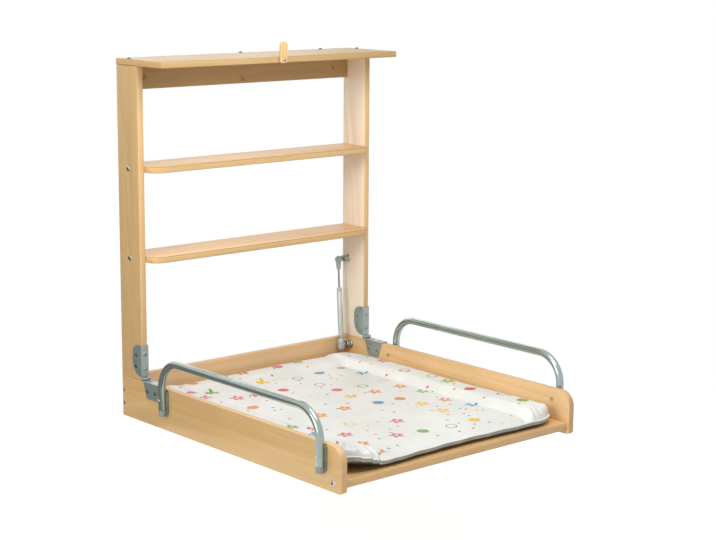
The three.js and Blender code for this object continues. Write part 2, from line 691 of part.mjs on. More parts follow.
function matSolid() {
  const { columns, rows, seam, edge } = mat;
  const spread = (t) => Math.sin((t * Math.PI) / 2) * 0.55 + t * 0.45;
  const point = (i, j, face) => {
    const across = spread((2 * i) / columns - 1);
    const along = spread((2 * j) / rows - 1);
    const { x, y } = matPlan(across, along);
    const inset = Math.min(1 - Math.abs(across), (1 - Math.abs(along)) * (matHalfDepth / matHalf));
    const full = Math.min(inset / edge, 1);
    const swell = Math.sqrt(full * (2 - full));
    const height = face > 0 ? seam + (matHeight(across, along) - seam) * swell : seam * (1 - swell);
    return [x, y, floorTop + fit + height + matLift(across, along)];
  };
  const positions = [];
  const quad = (a, b, c, d) => positions.push(...a, ...b, ...c, ...a, ...c, ...d);
  for (let i = 0; i < columns; i += 1) {
    for (let j = 0; j < rows; j += 1) {
      quad(point(i, j, 1), point(i + 1, j, 1), point(i + 1, j + 1, 1), point(i, j + 1, 1));
      quad(point(i, j, -1), point(i, j + 1, -1), point(i + 1, j + 1, -1), point(i + 1, j, -1));
    }
  }
  const sheet = new THREE.BufferGeometry();
  sheet.setAttribute('position', new THREE.Float32BufferAttribute(positions, 3));
  return solidOf(mergeVertices(sheet, 1e-3));
}

// Assembly
const table = new THREE.Group();
const frame = new THREE.Group();
const tray = new THREE.Group();
const strut = new THREE.Group();
table.add(frame, tray);
frame.add(strut);
strut.position.copy(strutTop);
strut.rotation.x = strutLean;

function add(group, name, solid, look) {
  const mesh = new THREE.Mesh(geometryOf(solid), new THREE.MeshStandardMaterial(look));
  mesh.name = name;
  group.add(mesh);
}

add(frame, 'top_board', topBoard(), finish.beech);
add(frame, 'hanging_rail', hangingRail(), finish.beech);
for (const [name, z] of shelves) add(frame, `${name}_shelf`, shelf(z), finish.beech);
for (const place of dowelPlaces) add(frame, place.name, dowelBar(place, 0), finish.beech);
for (const [name, place] of Object.entries(topScrews)) {
  add(frame, `top_screw_${name}`, screw(topScrew, place, down), finish.nickel);
}
add(frame, 'button_screw', screw(buttonScrew, buttonScrewSeat, backward), finish.nickel);
add(frame, 'button_spacer', buttonSpacer(), finish.rubber);
add(frame, 'turn_button', turnButton(), finish.beech);
add(frame, 'strut_upper_stud', upperStud(), finish.hinge);
add(strut, 'strut_upper_socket', upperSocket(), finish.strut);
add(strut, 'strut_rod', strutRodSolid(), finish.chrome);
add(strut, 'strut_cylinder', strutCylinder(), finish.strut);
add(strut, 'strut_lower_socket', lowerSocket(), finish.strut);
add(tray, 'strut_lower_stud', lowerStud(), finish.hinge);
add(tray, 'rear_board', rearBoard(), finish.beech);
add(tray, 'floor_panel', floorPanel(), finish.beech);
add(tray, 'changing_mat', matSolid(), finish.vinyl);

for (const { name, sign } of sides) {
  add(frame, `${name}_upright`, upright(sign), finish.beech);
  add(frame, `${name}_hinge_upper_leaf`, hingeUpperLeaf(sign * middle), finish.hinge);
  add(frame, `${name}_hinge_pin`, pin(sign * middle), finish.hinge);
  for (const [shelfName, z] of shelves) {
    const place = shelfScrewAt(sign, z);
    add(frame, `${shelfName}_shelf_${name}_screw`, screw(shelfScrew, place, inward(sign)), finish.nickel);
  }
  add(tray, `${name}_side_board`, sideBoard(sign), finish.beech);
  add(tray, `${name}_hinge_lower_leaf`, hingeLowerLeaf(sign * middle), finish.hinge);
  for (const [level, drop] of rearScrews) {
    const place = rearScrewAt(sign, drop);
    add(tray, `rear_${level}_${name}_screw`, screw(rearScrew, place, inward(sign)), finish.nickel);
  }
  add(tray, `floor_${name}_screw`, screw(floorScrew, floorScrewAt(sign), inward(sign)), finish.nickel);
  add(tray, `${name}_guard_rail`, guardRail(sign), finish.rail);
  for (const [end, y] of Object.entries(legs)) {
    add(tray, `${name}_rail_${end}_pad`, pad(sign, y), finish.rubber);
    add(tray, `${name}_rail_${end}_bolt`, bolt(sign, y), finish.nickel);
    add(tray, `${name}_rail_${end}_plug`, endPlug(sign, y), finish.rail);
  }
}

// The origin is the middle of the wall rail's back face
table.position.z = -railMiddle;

export default table;
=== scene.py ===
# Dresses a wall-hung folding changing table: wood, metal, gas strut, padded mat, light and camera
import json
import math

import bmesh
import bpy
import numpy as np
from mathutils import Matrix, Vector

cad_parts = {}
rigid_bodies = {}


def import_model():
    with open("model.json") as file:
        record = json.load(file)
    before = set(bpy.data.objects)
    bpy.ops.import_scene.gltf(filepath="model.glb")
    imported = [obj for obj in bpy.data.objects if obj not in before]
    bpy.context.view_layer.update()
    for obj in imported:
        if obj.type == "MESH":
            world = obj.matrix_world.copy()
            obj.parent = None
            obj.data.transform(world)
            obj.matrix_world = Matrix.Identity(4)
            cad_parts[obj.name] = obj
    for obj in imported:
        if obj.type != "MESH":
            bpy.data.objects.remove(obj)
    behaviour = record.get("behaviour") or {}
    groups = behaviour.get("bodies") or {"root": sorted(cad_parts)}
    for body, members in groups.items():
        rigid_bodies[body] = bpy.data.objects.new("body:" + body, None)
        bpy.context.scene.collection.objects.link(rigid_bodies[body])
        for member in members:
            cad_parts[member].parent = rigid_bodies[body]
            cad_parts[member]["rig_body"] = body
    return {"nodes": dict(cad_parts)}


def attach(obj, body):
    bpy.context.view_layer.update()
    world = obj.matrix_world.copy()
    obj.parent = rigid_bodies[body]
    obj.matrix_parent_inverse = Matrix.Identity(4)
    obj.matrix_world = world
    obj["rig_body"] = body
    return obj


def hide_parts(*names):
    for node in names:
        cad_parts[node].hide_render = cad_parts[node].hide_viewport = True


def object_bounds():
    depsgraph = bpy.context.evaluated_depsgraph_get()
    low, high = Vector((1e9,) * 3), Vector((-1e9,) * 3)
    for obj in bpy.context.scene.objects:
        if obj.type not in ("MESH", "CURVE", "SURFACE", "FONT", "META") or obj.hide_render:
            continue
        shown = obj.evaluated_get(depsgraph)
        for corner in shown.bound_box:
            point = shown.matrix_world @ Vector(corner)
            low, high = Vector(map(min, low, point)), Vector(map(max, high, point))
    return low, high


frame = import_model()
cadBox = [[float(v) for v in corner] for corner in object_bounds()]
nodes = frame["nodes"]
scene = bpy.context.scene
scene.view_settings.view_transform = "Standard"
feetLevel = -0.7775  # height of the uprights' feet, because the frame's zero is on the wall rail
sideNames = (("left", -1), ("right", 1))


def spot(x, y, z):  # millimetres measured from the uprights' feet, to metres in the frame
    return Vector((x / 1000, y / 1000, z / 1000 + feetLevel))


def rgb(code):  # a hex colour as linear light
    parts = [int(code[i:i + 2], 16) / 255 for i in (1, 3, 5)]
    return tuple(p / 12.92 if p <= 0.04045 else ((p + 0.055) / 1.055) ** 2.4 for p in parts) + (1,)


# Camera, fitted to the photo's straight edges
photoView = {"place": (-2.798, -3.685, 0.331), "yaw": 41.23, "pitch": -10.73, "roll": 0.36, "lens": 85.88}


def addCamera():
    data = bpy.data.cameras.new("photoCamera")
    data.sensor_width = 36
    data.lens = photoView["lens"]
    camera = bpy.data.objects.new("photoCamera", data)
    scene.collection.objects.link(camera)
    yaw, pitch, roll = (math.radians(photoView[key]) for key in ("yaw", "pitch", "roll"))
    level = math.cos(pitch)
    ahead = Vector((math.sin(yaw) * level, math.cos(yaw) * level, math.sin(pitch)))
    right = Vector((math.cos(yaw), -math.sin(yaw), 0))
    up = right.cross(ahead)
    leanRight = right * math.cos(roll) + up * math.sin(roll)
    leanUp = up * math.cos(roll) - right * math.sin(roll)
    turn = Matrix((leanRight, leanUp, -ahead)).transposed()
    camera.matrix_world = Matrix.Translation(photoView["place"]) @ turn.to_4x4()
    scene.camera = camera


addCamera()
print("camera set")


# Shader trees: a small wrapper that adds a node, sets its inputs and links what is a socket
class Shade:
    def __init__(self, name):
        self.material = bpy.data.materials.new(name)
        self.material.use_nodes = True
        self.tree = self.material.node_tree
        self.surface = self.tree.nodes["Principled BSDF"]

    def add(self, kind, inputs=None, **settings):
        node = self.tree.nodes.new(kind)
        for key, value in settings.items():
            setattr(node, key, value)
        self.feed(node, inputs or {})
        return node

    def feed(self, node, inputs):
        for key, value in inputs.items():
            socket = node.inputs[key]
            if isinstance(value, bpy.types.NodeSocket):
                self.tree.links.new(value, socket)
            else:
                socket.default_value = value

    def sums(self, operation, a, b=0.0, c=0.0, clamp=False):
        return self.add("ShaderNodeMath", {0: a, 1: b, 2: c}, operation=operation, use_clamp=clamp).outputs[0]

    def vector(self, operation, a, b=(0, 0, 0)):
        node = self.add("ShaderNodeVectorMath", {0: a, 1: b}, operation=operation)
        return node.outputs["Value" if operation in ("LENGTH", "DOT_PRODUCT") else "Vector"]

    def scaled(self, a, size):
        return self.add("ShaderNodeVectorMath", {0: a, "Scale": size}, operation="SCALE").outputs["Vector"]

    def noise(self, place, scale, detail=2.0, rough=0.5, bend=0.0):
        inputs = {"Vector": place, "Scale": scale, "Detail": detail, "Roughness": rough, "Distortion": bend}
        return self.add("ShaderNodeTexNoise", inputs).outputs[0]

    def fade(self, value, low, high, start=0.0, end=1.0):
        inputs = {"Value": value, "From Min": low, "From Max": high, "To Min": start, "To Max": end}
        return self.add("ShaderNodeMapRange", inputs, interpolation_type="SMOOTHSTEP").outputs[0]

    def ramp(self, value, stops, stepped=False):
        node = self.add("ShaderNodeValToRGB", {0: value})
        node.color_ramp.interpolation = "CONSTANT" if stepped else "LINEAR"
        marks = node.color_ramp.elements
        while len(marks) < len(stops):
            marks.new(0.5)
        for mark, (place, colour) in zip(marks, stops):
            mark.position = place
            mark.color = rgb(colour)
        return node.outputs[0]

    def mix(self, share, a, b, how="MIX"):
        node = self.add("ShaderNodeMix", data_type="RGBA", blend_type=how)
        self.feed(node, {0: share, 6: a, 7: b})
        return node.outputs[2]

    def bump(self, height, strength, depth):
        inputs = {"Height": height, "Strength": strength, "Distance": depth}
        return self.add("ShaderNodeBump", inputs).outputs[0]

    def place(self):
        return self.add("ShaderNodeTexCoord")

    def attribute(self, name):
        return self.add("ShaderNodeAttribute", attribute_name=name)

    def done(self, **inputs):
        self.feed(self.surface, {key.replace("_", " "): value for key, value in inputs.items()})
        return self.material


# Lacquered beech, with the grain along one axis of the piece
beech = {
    "pale": "#f1cb92", "mid": "#e8bd81", "deep": "#dcab68", "streak": "#c69656", "fleck": "#a06c38",
    "palest": "#fff3e0", "deepestAndShaded": "#ae905e", "ringScale": 22.0, "streakScale": 260.0, "fleckScale": 760.0, "stretch": 0.03, "fleckStretch": 0.14,
}


def beechAlong(axis):
    shade = Shade(f"beechAlong{'XYZ'[axis]}")
    spots = shade.place()
    tone = shade.attribute("boardTone").outputs["Fac"]
    cut = shade.attribute("boardCut").outputs["Fac"]
    shift = shade.add("ShaderNodeCombineXYZ", {
        "X": shade.sums("MULTIPLY", cut, 3.1), "Y": shade.sums("MULTIPLY", cut, 5.3),
        "Z": shade.sums("MULTIPLY", cut, 4.7),
    }).outputs[0]
    place = shade.vector("ADD", spots.outputs["Object"], shift)
    along = [1.0, 1.0, 1.0]
    along[axis] = beech["stretch"]
    grain = shade.vector("MULTIPLY", place, tuple(along))
    along[axis] = beech["fleckStretch"]
    dashes = shade.vector("MULTIPLY", place, tuple(along))
    rings = shade.noise(grain, beech["ringScale"], 4.0, 0.55, 0.6)
    streaks = shade.noise(grain, beech["streakScale"], 3.0, 0.6, 0.2)
    flecks = shade.noise(dashes, beech["fleckScale"], 1.0, 0.5)
    cloud = shade.noise(place, 5.0, 2.0, 0.5)
    base = shade.ramp(rings, [(0.3, beech["pale"]), (0.5, beech["mid"]), (0.72, beech["deep"])])
    lined = shade.mix(shade.fade(streaks, 0.5, 0.8, 0.0, 0.3), base, rgb(beech["streak"]))
    marked = shade.mix(shade.fade(flecks, 0.61, 0.75, 0.0, 0.3), lined, rgb(beech["fleck"]))
    light = shade.fade(cloud, 0.3, 0.7, 0.95, 1.03)
    even = shade.mix(1.0, marked, shade.add("ShaderNodeCombineColor", {
        "Red": light, "Green": light, "Blue": light,
    }).outputs[0], "MULTIPLY")
    # The face tone paints light and shade: a positive tone whitens a lit face, a negative one darkens a shaded face
    pale = shade.sums("MULTIPLY", shade.sums("MAXIMUM", tone, 0.0, clamp=True), 0.86)
    paler = shade.mix(pale, even, rgb(beech["palest"]))
    deeper = shade.sums("MAXIMUM", shade.sums("MULTIPLY", tone, -1.0), 0.0, clamp=True)
    toned = shade.mix(deeper, paler, rgb(beech["deepestAndShaded"]))
    # Sawn ends are deeper in colour, with open pores in place of lines
    facing = shade.add("ShaderNodeSeparateXYZ", {0: spots.outputs["Normal"]}).outputs[axis]
    ends = shade.fade(shade.sums("ABSOLUTE", facing), 0.7, 0.95)
    pores = shade.noise(place, 900.0, 2.0, 0.6)
    sawn = shade.mix(shade.fade(pores, 0.45, 0.7, 0.2, 0.75), rgb(beech["mid"]), rgb(beech["fleck"]))
    share = shade.sums("MULTIPLY_ADD", pale, -0.9, 0.55, clamp=True)
    colour = shade.mix(shade.sums("MULTIPLY", ends, share), toned, sawn)
    relief = shade.sums("ADD", streaks, shade.sums("MULTIPLY", flecks, 0.6))
    return shade.done(
        Base_Color=colour, Roughness=shade.fade(streaks, 0.3, 0.75, 0.4, 0.52),
        Normal=shade.bump(relief, 0.12, 0.0006), Coat_Weight=0.12, Coat_Roughness=0.28,
    )


# Silver paint with metal flake: a slight orange peel where it is bare, smooth under clear lacquer
def silverPaint(name, light, dark, metal, rough, coarse, lacquer=0.0):
    shade = Shade(name)
    place = shade.place().outputs["Object"]
    patch = shade.noise(place, 26.0, 3.0, 0.5)
    colour = shade.mix(shade.fade(patch, 0.3, 0.7), rgb(light), rgb(dark))
    if lacquer:
        return shade.done(
            Base_Color=colour, Metallic=metal, Roughness=shade.fade(patch, 0.3, 0.7, rough - 0.02, rough + 0.02),
            Coat_Weight=lacquer, Coat_Roughness=0.07, Coat_IOR=1.65,
        )
    flake = shade.noise(place, 2600.0, 1.0, 0.5)
    peel = shade.noise(place, coarse, 2.0, 0.55)
    sparkle = shade.mix(shade.fade(flake, 0.55, 0.75, 0.0, 0.08), colour, rgb("#dfe8e4"))
    return shade.done(
        Base_Color=sparkle, Metallic=metal, Roughness=shade.fade(peel, 0.3, 0.7, rough - 0.05, rough + 0.08),
        Normal=shade.bump(peel, 0.06, 0.0005),
    )


# Bright turned or plated metal, with fine tool lines round it
def platedMetal(name, code, rough, lines):
    shade = Shade(name)
    place = shade.place().outputs["Object"]
    fine = shade.noise(place, lines, 2.0, 0.6)
    smudge = shade.noise(place, 90.0, 2.0, 0.5)
    colour = shade.mix(shade.fade(smudge, 0.3, 0.7, 0.0, 0.25), rgb(code), rgb("#8d9190"))
    return shade.done(
        Base_Color=colour, Metallic=1.0, Roughness=shade.fade(fine, 0.3, 0.7, rough - 0.04, rough + 0.08),
        Normal=shade.bump(fine, 0.06, 0.0002),
    )


def mattePlastic(name, light, dark):
    shade = Shade(name)
    place = shade.place().outputs["Object"]
    grit = shade.noise(place, 1500.0, 2.0, 0.6)
    cloud = shade.noise(place, 60.0, 2.0, 0.5)
    colour = shade.mix(shade.fade(cloud, 0.3, 0.7), rgb(light), rgb(dark))
    return shade.done(
        Base_Color=colour, Roughness=shade.fade(grit, 0.3, 0.7, 0.5, 0.68),
        Normal=shade.bump(grit, 0.18, 0.0004),
    )


# Coated cloth of the mat, with a generic print of dots, rings and small flowers on the upper side
matPrint = {
    "cloth": "#f3f4f0", "shade": "#e8e9e4", "underside": "#55574f", "bigCell": 11.5, "smallCell": 29.0, "disc": 0.0155,
    "petals": 5.0, "petalDepth": 0.0052, "ring": 0.0040, "dot": 0.0039,
    "inks": ["#cb332e", "#e88a2c", "#efc632", "#72a83c", "#3290c0", "#dc5a7e"],
}


def inkRamp(shade, pick):
    inks = matPrint["inks"]
    return shade.ramp(pick, [(i / len(inks), code) for i, code in enumerate(inks)], True)


def scatter(shade, place, cell, loose, shift):
    moved = shade.vector("ADD", place, shift)
    spots = shade.add("ShaderNodeTexVoronoi", {
        "Vector": moved, "Scale": cell, "Randomness": loose,
    }, voronoi_dimensions="2D")
    offset = shade.vector("SUBTRACT", moved, spots.outputs["Position"])
    flat = shade.add("ShaderNodeSeparateXYZ", {0: offset})
    reach = shade.vector("LENGTH", shade.add("ShaderNodeCombineXYZ", {
        "X": flat.outputs[0], "Y": flat.outputs[1],
    }).outputs[0])
    turn = shade.sums("ARCTAN2", flat.outputs[1], flat.outputs[0])
    picks = shade.add("ShaderNodeSeparateColor", {0: spots.outputs["Color"]}).outputs
    return reach, turn, picks


def coatedCloth():
    shade = Shade("coatedCloth")
    place = shade.place().outputs["Object"]
    upper = shade.attribute("printed").outputs["Fac"]
    underShade = shade.attribute("underside").outputs["Fac"]
    creased = shade.attribute("gathered").outputs["Fac"]
    cloud = shade.noise(place, 7.0, 3.0, 0.5)
    cloth = shade.mix(shade.fade(cloud, 0.3, 0.72), rgb(matPrint["cloth"]), rgb(matPrint["shade"]))
    # Faces that point down take a dark grey: painted shade under the mat's edge and curled corner
    cloth = shade.mix(underShade, cloth, rgb(matPrint["underside"]))

    reach, turn, picks = scatter(shade, place, matPrint["bigCell"], 0.42, (3.1, 7.4, 0))
    wave = shade.sums("SINE", shade.sums("MULTIPLY_ADD", turn, matPrint["petals"], 1.0))
    flower = shade.sums("MULTIPLY_ADD", wave, matPrint["petalDepth"], matPrint["disc"])
    isFlower = shade.sums("GREATER_THAN", picks[1], 0.52)
    isRing = shade.sums("LESS_THAN", picks[1], 0.22)
    edge = shade.mix(isFlower, shade.add("ShaderNodeCombineXYZ", {"X": matPrint["disc"]}).outputs[0],
                     shade.add("ShaderNodeCombineXYZ", {"X": flower}).outputs[0])
    radius = shade.add("ShaderNodeSeparateXYZ", {0: edge}).outputs[0]
    gap = shade.sums("SUBTRACT", radius, reach)
    filled = shade.fade(gap, -0.0003, 0.0004)
    hollow = shade.sums("SUBTRACT", matPrint["ring"], gap)
    rim = shade.sums("MULTIPLY", filled, shade.fade(hollow, -0.0003, 0.0004))
    motif = shade.sums("ADD", shade.sums("MULTIPLY", filled, shade.sums("SUBTRACT", 1.0, isRing)),
                       shade.sums("MULTIPLY", rim, isRing), clamp=True)
    shown = shade.sums("LESS_THAN", picks[2], 0.74)
    middle = shade.sums("MULTIPLY", isFlower, shade.fade(reach, 0.0052, 0.0045))
    inked = shade.mix(shade.sums("MULTIPLY", shade.sums("MULTIPLY", motif, shown), upper), cloth,
                      inkRamp(shade, picks[0]))
    hearted = shade.mix(shade.sums("MULTIPLY", shade.sums("MULTIPLY", middle, shown), upper), inked,
                        rgb("#fbe9a6"))

    reach, turn, picks = scatter(shade, place, matPrint["smallCell"], 0.85, (1.7, 2.9, 0))
    dot = shade.fade(shade.sums("SUBTRACT", matPrint["dot"], reach), -0.0002, 0.0003)
    few = shade.sums("LESS_THAN", picks[2], 0.3)
    colour = shade.mix(shade.sums("MULTIPLY", shade.sums("MULTIPLY", dot, few), upper), hearted,
                       inkRamp(shade, picks[0]))

    fold = shade.noise(place, 34.0, 3.0, 0.55, 0.8)
    fine = shade.noise(place, 240.0, 2.0, 0.5)
    skin = shade.noise(place, 1900.0, 1.0, 0.5)
    facets = shade.add("ShaderNodeTexVoronoi", {"Vector": place, "Scale": 46.0}).outputs["Distance"]
    swing = shade.sums("MULTIPLY", fold, shade.sums("MULTIPLY_ADD", creased, 1.6, 0.35))
    swing = shade.sums("MULTIPLY_ADD", shade.sums("MULTIPLY", facets, creased), 1.4, swing)
    relief = shade.sums("ADD", swing, shade.sums("MULTIPLY_ADD", fine, 0.1, shade.sums("MULTIPLY", skin, 0.025)))
    return shade.done(
        Base_Color=colour, Roughness=shade.fade(fine, 0.3, 0.7, 0.34, 0.44),
        Normal=shade.bump(relief, 0.34, 0.004), Sheen_Weight=0.08,
    )


beechX, beechY, beechZ = (beechAlong(axis) for axis in range(3))
railSilver = silverPaint("railSilver", "#9dada6", "#95a59e", 0.8, 0.22, 420.0, 0.8)
hingeSilver = silverPaint("hingeSilver", "#9eaea8", "#939f9b", 0.6, 0.32, 620.0, 0.6)
strutSilver = silverPaint("strutSilver", "#cdd0cc", "#bfc3bf", 0.35, 0.36, 900.0)
socketGrey = silverPaint("socketGrey", "#b2b8b3", "#a0a7a2", 0.3, 0.42, 800.0)
nickel = platedMetal("nickel", "#b9bbb5", 0.36, 1400.0)
screwSteel = platedMetal("screwSteel", "#9aa19e", 0.4, 1200.0)
# Dark steel for screw recesses and small dark screw heads: painted shade in the recesses and screw holes
recessShadeSteel = platedMetal("recessShadeSteel", "#5c615f", 0.5, 900.0)
studChrome = platedMetal("studChrome", "#b0b8b6", 0.16, 1500.0)
rodChrome = platedMetal("rodChrome", "#a9b2b3", 0.16, 2600.0)
plasticDark = mattePlastic("plasticDark", "#56625e", "#3f4a47")
capGrey = mattePlastic("capGrey", "#8f9c94", "#838f88")
capBrown = mattePlastic("capBrown", "#c79d6c", "#b98d5c")
padGrey = mattePlastic("padGrey", "#868f84", "#767f75")
# Grey band and near-black sole of the mat's welt: painted shade under its lip and beneath its edge
seamTapeAndShade = mattePlastic("seamTapeAndShade", "#c2c4ba", "#b2b5aa")
soleShade = mattePlastic("soleShade", "#34352f", "#2b2c27")
vinyl = coatedCloth()
print("finishes made")


# Turning a mesh into a finished piece on its body
def smoothed(mesh, angle):
    for face in mesh.polygons:
        face.use_smooth = True
    mesh.set_sharp_from_angle(angle=math.radians(angle))


def finishPiece(name, mesh, material, body, stands=(), angle=35):
    if material:
        mesh.materials.clear()
        mesh.materials.append(material)
    smoothed(mesh, angle)
    piece = bpy.data.objects.new(name, mesh)
    scene.collection.objects.link(piece)
    if stands:
        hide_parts(*stands)
    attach(piece, body)
    return piece


def pieceName(node):
    first, *rest = node.split("_")
    return first + "".join(word.title() for word in rest)


def meshFrom(name, build):
    mesh = bpy.data.meshes.new(name)
    build.to_mesh(mesh)
    build.free()
    return mesh


# Each board is cut from another place of the log, and its faces and edges have tones of their own, which paint light
# and shade: paler on lit faces, darker on shaded ones
def toneAndShadeBoard(mesh, cut, broad, narrow, outer=None, eased=None):
    points = np.array([v.co for v in mesh.vertices])
    thin = int(np.argmin(np.ptp(points, axis=0)))
    faceTonesAndShades = {-1: broad, 0: narrow, 1: broad if outer is None else outer}
    tones = [faceTonesAndShades[int(face.normal[thin] / 0.7)] for face in mesh.polygons]
    if eased is not None:
        slants = [0.2 < abs(face.normal[thin]) < 0.96 for face in mesh.polygons]
        tones = [eased if slant else tone for slant, tone in zip(slants, tones)]
    mesh.attributes.new("boardTone", "FLOAT", "FACE").data.foreach_set("value", tones)
    cuts = np.full(len(mesh.vertices), cut, np.float32)
    mesh.attributes.new("boardCut", "FLOAT", "POINT").data.foreach_set("value", cuts)


# A merged copy of a solid, with a small bevel on its sharp edges where asked
def dress(node, material, tone=None, bevel=0.0, angle=35):
    source = nodes[node].data
    build = bmesh.new()
    points = [build.verts.new(v.co) for v in source.vertices]
    for face in source.polygons:
        build.faces.new([points[i] for i in face.vertices])
    bmesh.ops.remove_doubles(build, verts=build.verts, dist=2e-6)
    bmesh.ops.dissolve_limit(build, angle_limit=math.radians(0.6), verts=build.verts, edges=build.edges)
    if bevel:
        sharp = [e for e in build.edges if len(e.link_faces) == 2 and e.calc_face_angle() > math.radians(50)]
        bmesh.ops.bevel(build, geom=sharp, offset=bevel, segments=2, profile=0.6, affect="EDGES", clamp_overlap=True)
    mesh = meshFrom(pieceName(node), build)
    if tone:
        toneAndShadeBoard(mesh, *tone)
    return finishPiece(pieceName(node), mesh, material, nodes[node]["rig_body"], [node], angle)


boards = {  # grain, place in the log, then tones with painted light and shade: of the broad faces, the edges, a face that differs, the eased corners
    "top_board": (beechX, 0.0, -0.3, -0.56, -0.7, -1.0), "upper_shelf": (beechX, 0.25, -0.1, -0.18, -0.1, -1.0),
    "lower_shelf": (beechX, 0.37, 0.04, -0.18, 0.04, -1.0), "hanging_rail": (beechX, -0.44, -0.66, 0.6),
    "rear_board": (beechX, 0.19, 0.2, 0.2), "floor_panel": (beechX, 0.06, 0.02, 0.1),
    "left_upright": (beechZ, -0.1, -0.52, 0.05), "right_upright": (beechZ, 1.07, 0.93, -0.1, 0.1),
    "turn_button": (beechZ, -0.14, -0.1, -0.1), "left_side_board": (beechY, 0.11, -0.35, 0.1),
    "right_side_board": (beechY, 0.33, 0.1, 0.05),
}
for node, (wood, *tone) in boards.items():
    dress(node, wood, tone, 0.0013)
for name, side in sideNames:
    for place in ("upper_shelf", "lower_shelf", "hanging_rail"):
        hidden = nodes[f"{place}_{name}_dowel"]
        hidden.data.materials.clear()
        hidden.data.materials.append(beechX)
    dress(f"{name}_hinge_upper_leaf", hingeSilver, angle=40)
    dress(f"{name}_hinge_lower_leaf", hingeSilver, angle=40)
    for end in ("rear", "front"):
        dress(f"{name}_rail_{end}_pad", padGrey)
dress("button_spacer", plasticDark)
print("boards, hinges and pads dressed")


# Turned pieces: radius and height pairs along an axis, both ends closed
def turnedMesh(name, profile, place, axis, sides=40):
    axis = Vector(axis).normalized()
    across = axis.orthogonal().normalized()
    up = axis.cross(across)
    build = bmesh.new()
    rings = []
    for radius, height in profile:
        centre = place + axis * (height / 1000)
        if radius <= 0:
            rings.append([build.verts.new(centre)])
            continue
        turns = [2 * math.pi * i / sides for i in range(sides)]
        rings.append([
            build.verts.new(centre + (across * math.cos(t) + up * math.sin(t)) * (radius / 1000)) for t in turns
        ])
    for low, high in zip(rings, rings[1:]):
        for i in range(sides):
            j = (i + 1) % sides
            corners = [low[i % len(low)], low[j % len(low)], high[j % len(high)], high[i % len(high)]]
            build.faces.new(list(dict.fromkeys(corners)))
    bmesh.ops.recalc_face_normals(build, faces=build.faces)
    return meshFrom(name, build)


def roundedEnd(radius, height, bow, outwards, steps=6):  # an edge of a turned piece, eased by a quarter circle
    turns = [math.pi / 2 * i / steps for i in range(steps + 1)]
    arc = [(radius - bow + bow * math.cos(t), height + bow * (math.sin(t) - 1)) for t in turns]
    return arc if outwards else [(r, 2 * height - h) for r, h in reversed(arc)]


hingePins = {"radius": 2.5, "head": 3.8, "rise": 1.2, "half": 12.1, "y": -97.3, "z": 5.3, "x": 381}
for name, side in sideNames:
    p = hingePins
    end = p["half"] + p["rise"]
    profile = [(0, -end), *roundedEnd(p["head"], -end, 0.6, False), (p["head"], -p["half"]),
               (p["radius"], -p["half"]), (p["radius"], p["half"]), (p["head"], p["half"]),
               *roundedEnd(p["head"], end, 0.6, True), (0, end)]
    mesh = turnedMesh(f"{name}HingePin", profile, spot(side * p["x"], p["y"], p["z"]), (1, 0, 0), 28)
    finishPiece(f"{name}HingePin", mesh, hingeSilver, "wall_frame", [f"{name}_hinge_pin"])

railFittings = {
    "tubeX": 402.1, "tubeRadius": 10, "inner": 372, "rear": -200, "front": -824, "foot": -52.5, "boltDrop": -28,
    "head": 4.6, "rise": 2.4, "nut": 4.8, "nutRise": 2, "plugRim": 16,
}
for name, side in sideNames:
    p = railFittings
    for end in ("rear", "front"):
        grip = p["tubeX"] + p["tubeRadius"] - p["inner"]
        nutEnd = -0.3 - p["nutRise"]
        profile = [
            (0, nutEnd), *roundedEnd(p["nut"], nutEnd, 1.0, False), (p["nut"], -0.3), (3, -0.3), (3, grip + 0.3),
            (p["head"], grip + 0.3), (p["head"] * 0.97, grip + 0.9), (p["head"] * 0.86, grip + 1.6),
            (p["head"] * 0.66, grip + 2.2), (p["head"] * 0.4, grip + 2.6), (0, grip + 0.3 + p["rise"]),
        ]
        place = spot(side * p["inner"], p[end], p["boltDrop"])
        mesh = turnedMesh(f"{name}Rail{end.title()}Bolt", profile, place, (side, 0, 0), 28)
        mesh.materials.append(nickel)
        mesh.materials.append(capBrown)
        for face in mesh.polygons:
            face.material_index = int(side * face.center.x * 1000 < p["inner"])
        finishPiece(mesh.name, mesh, None, "tray", [f"{name}_rail_{end}_bolt"], 50)
        rim = -p["plugRim"] - 0.3
        profile = [(0, rim), *roundedEnd(p["tubeRadius"], rim, 1.6, False), (p["tubeRadius"], -1.3),
                   (p["tubeRadius"] - 0.9, -0.3), (8.2, -0.3), (8.2, 12), (0, 12)]
        mesh = turnedMesh(f"{name}Rail{end.title()}Plug", profile, spot(side * p["tubeX"], p[end], p["foot"]),
                          (0, 0, 1), 36)
        finishPiece(mesh.name, mesh, capGrey, "tray", [f"{name}_rail_{end}_plug"])
print("pins, bolts and plugs turned")


# Gas strut, from its upper ball down to its lower one
gasStrut = {
    "x": 337, "top": (-22, 226), "low": (-36, -24), "socket": 10, "shank": 5.5, "shankLength": 30,
    "barrel": 11, "barrelShank": 6.5, "barrelReach": 27, "tail": 17,
    "rod": 3, "rodVisible": 51, "tube": 7.5, "shoulder": 2, "inner": 372,
}


def ballOutline(radius, centre, start, end, steps=14):
    turns = [math.radians(start + (end - start) * i / steps) for i in range(steps + 1)]
    return [(abs(radius * math.sin(t)), centre - radius * math.cos(t)) for t in turns]


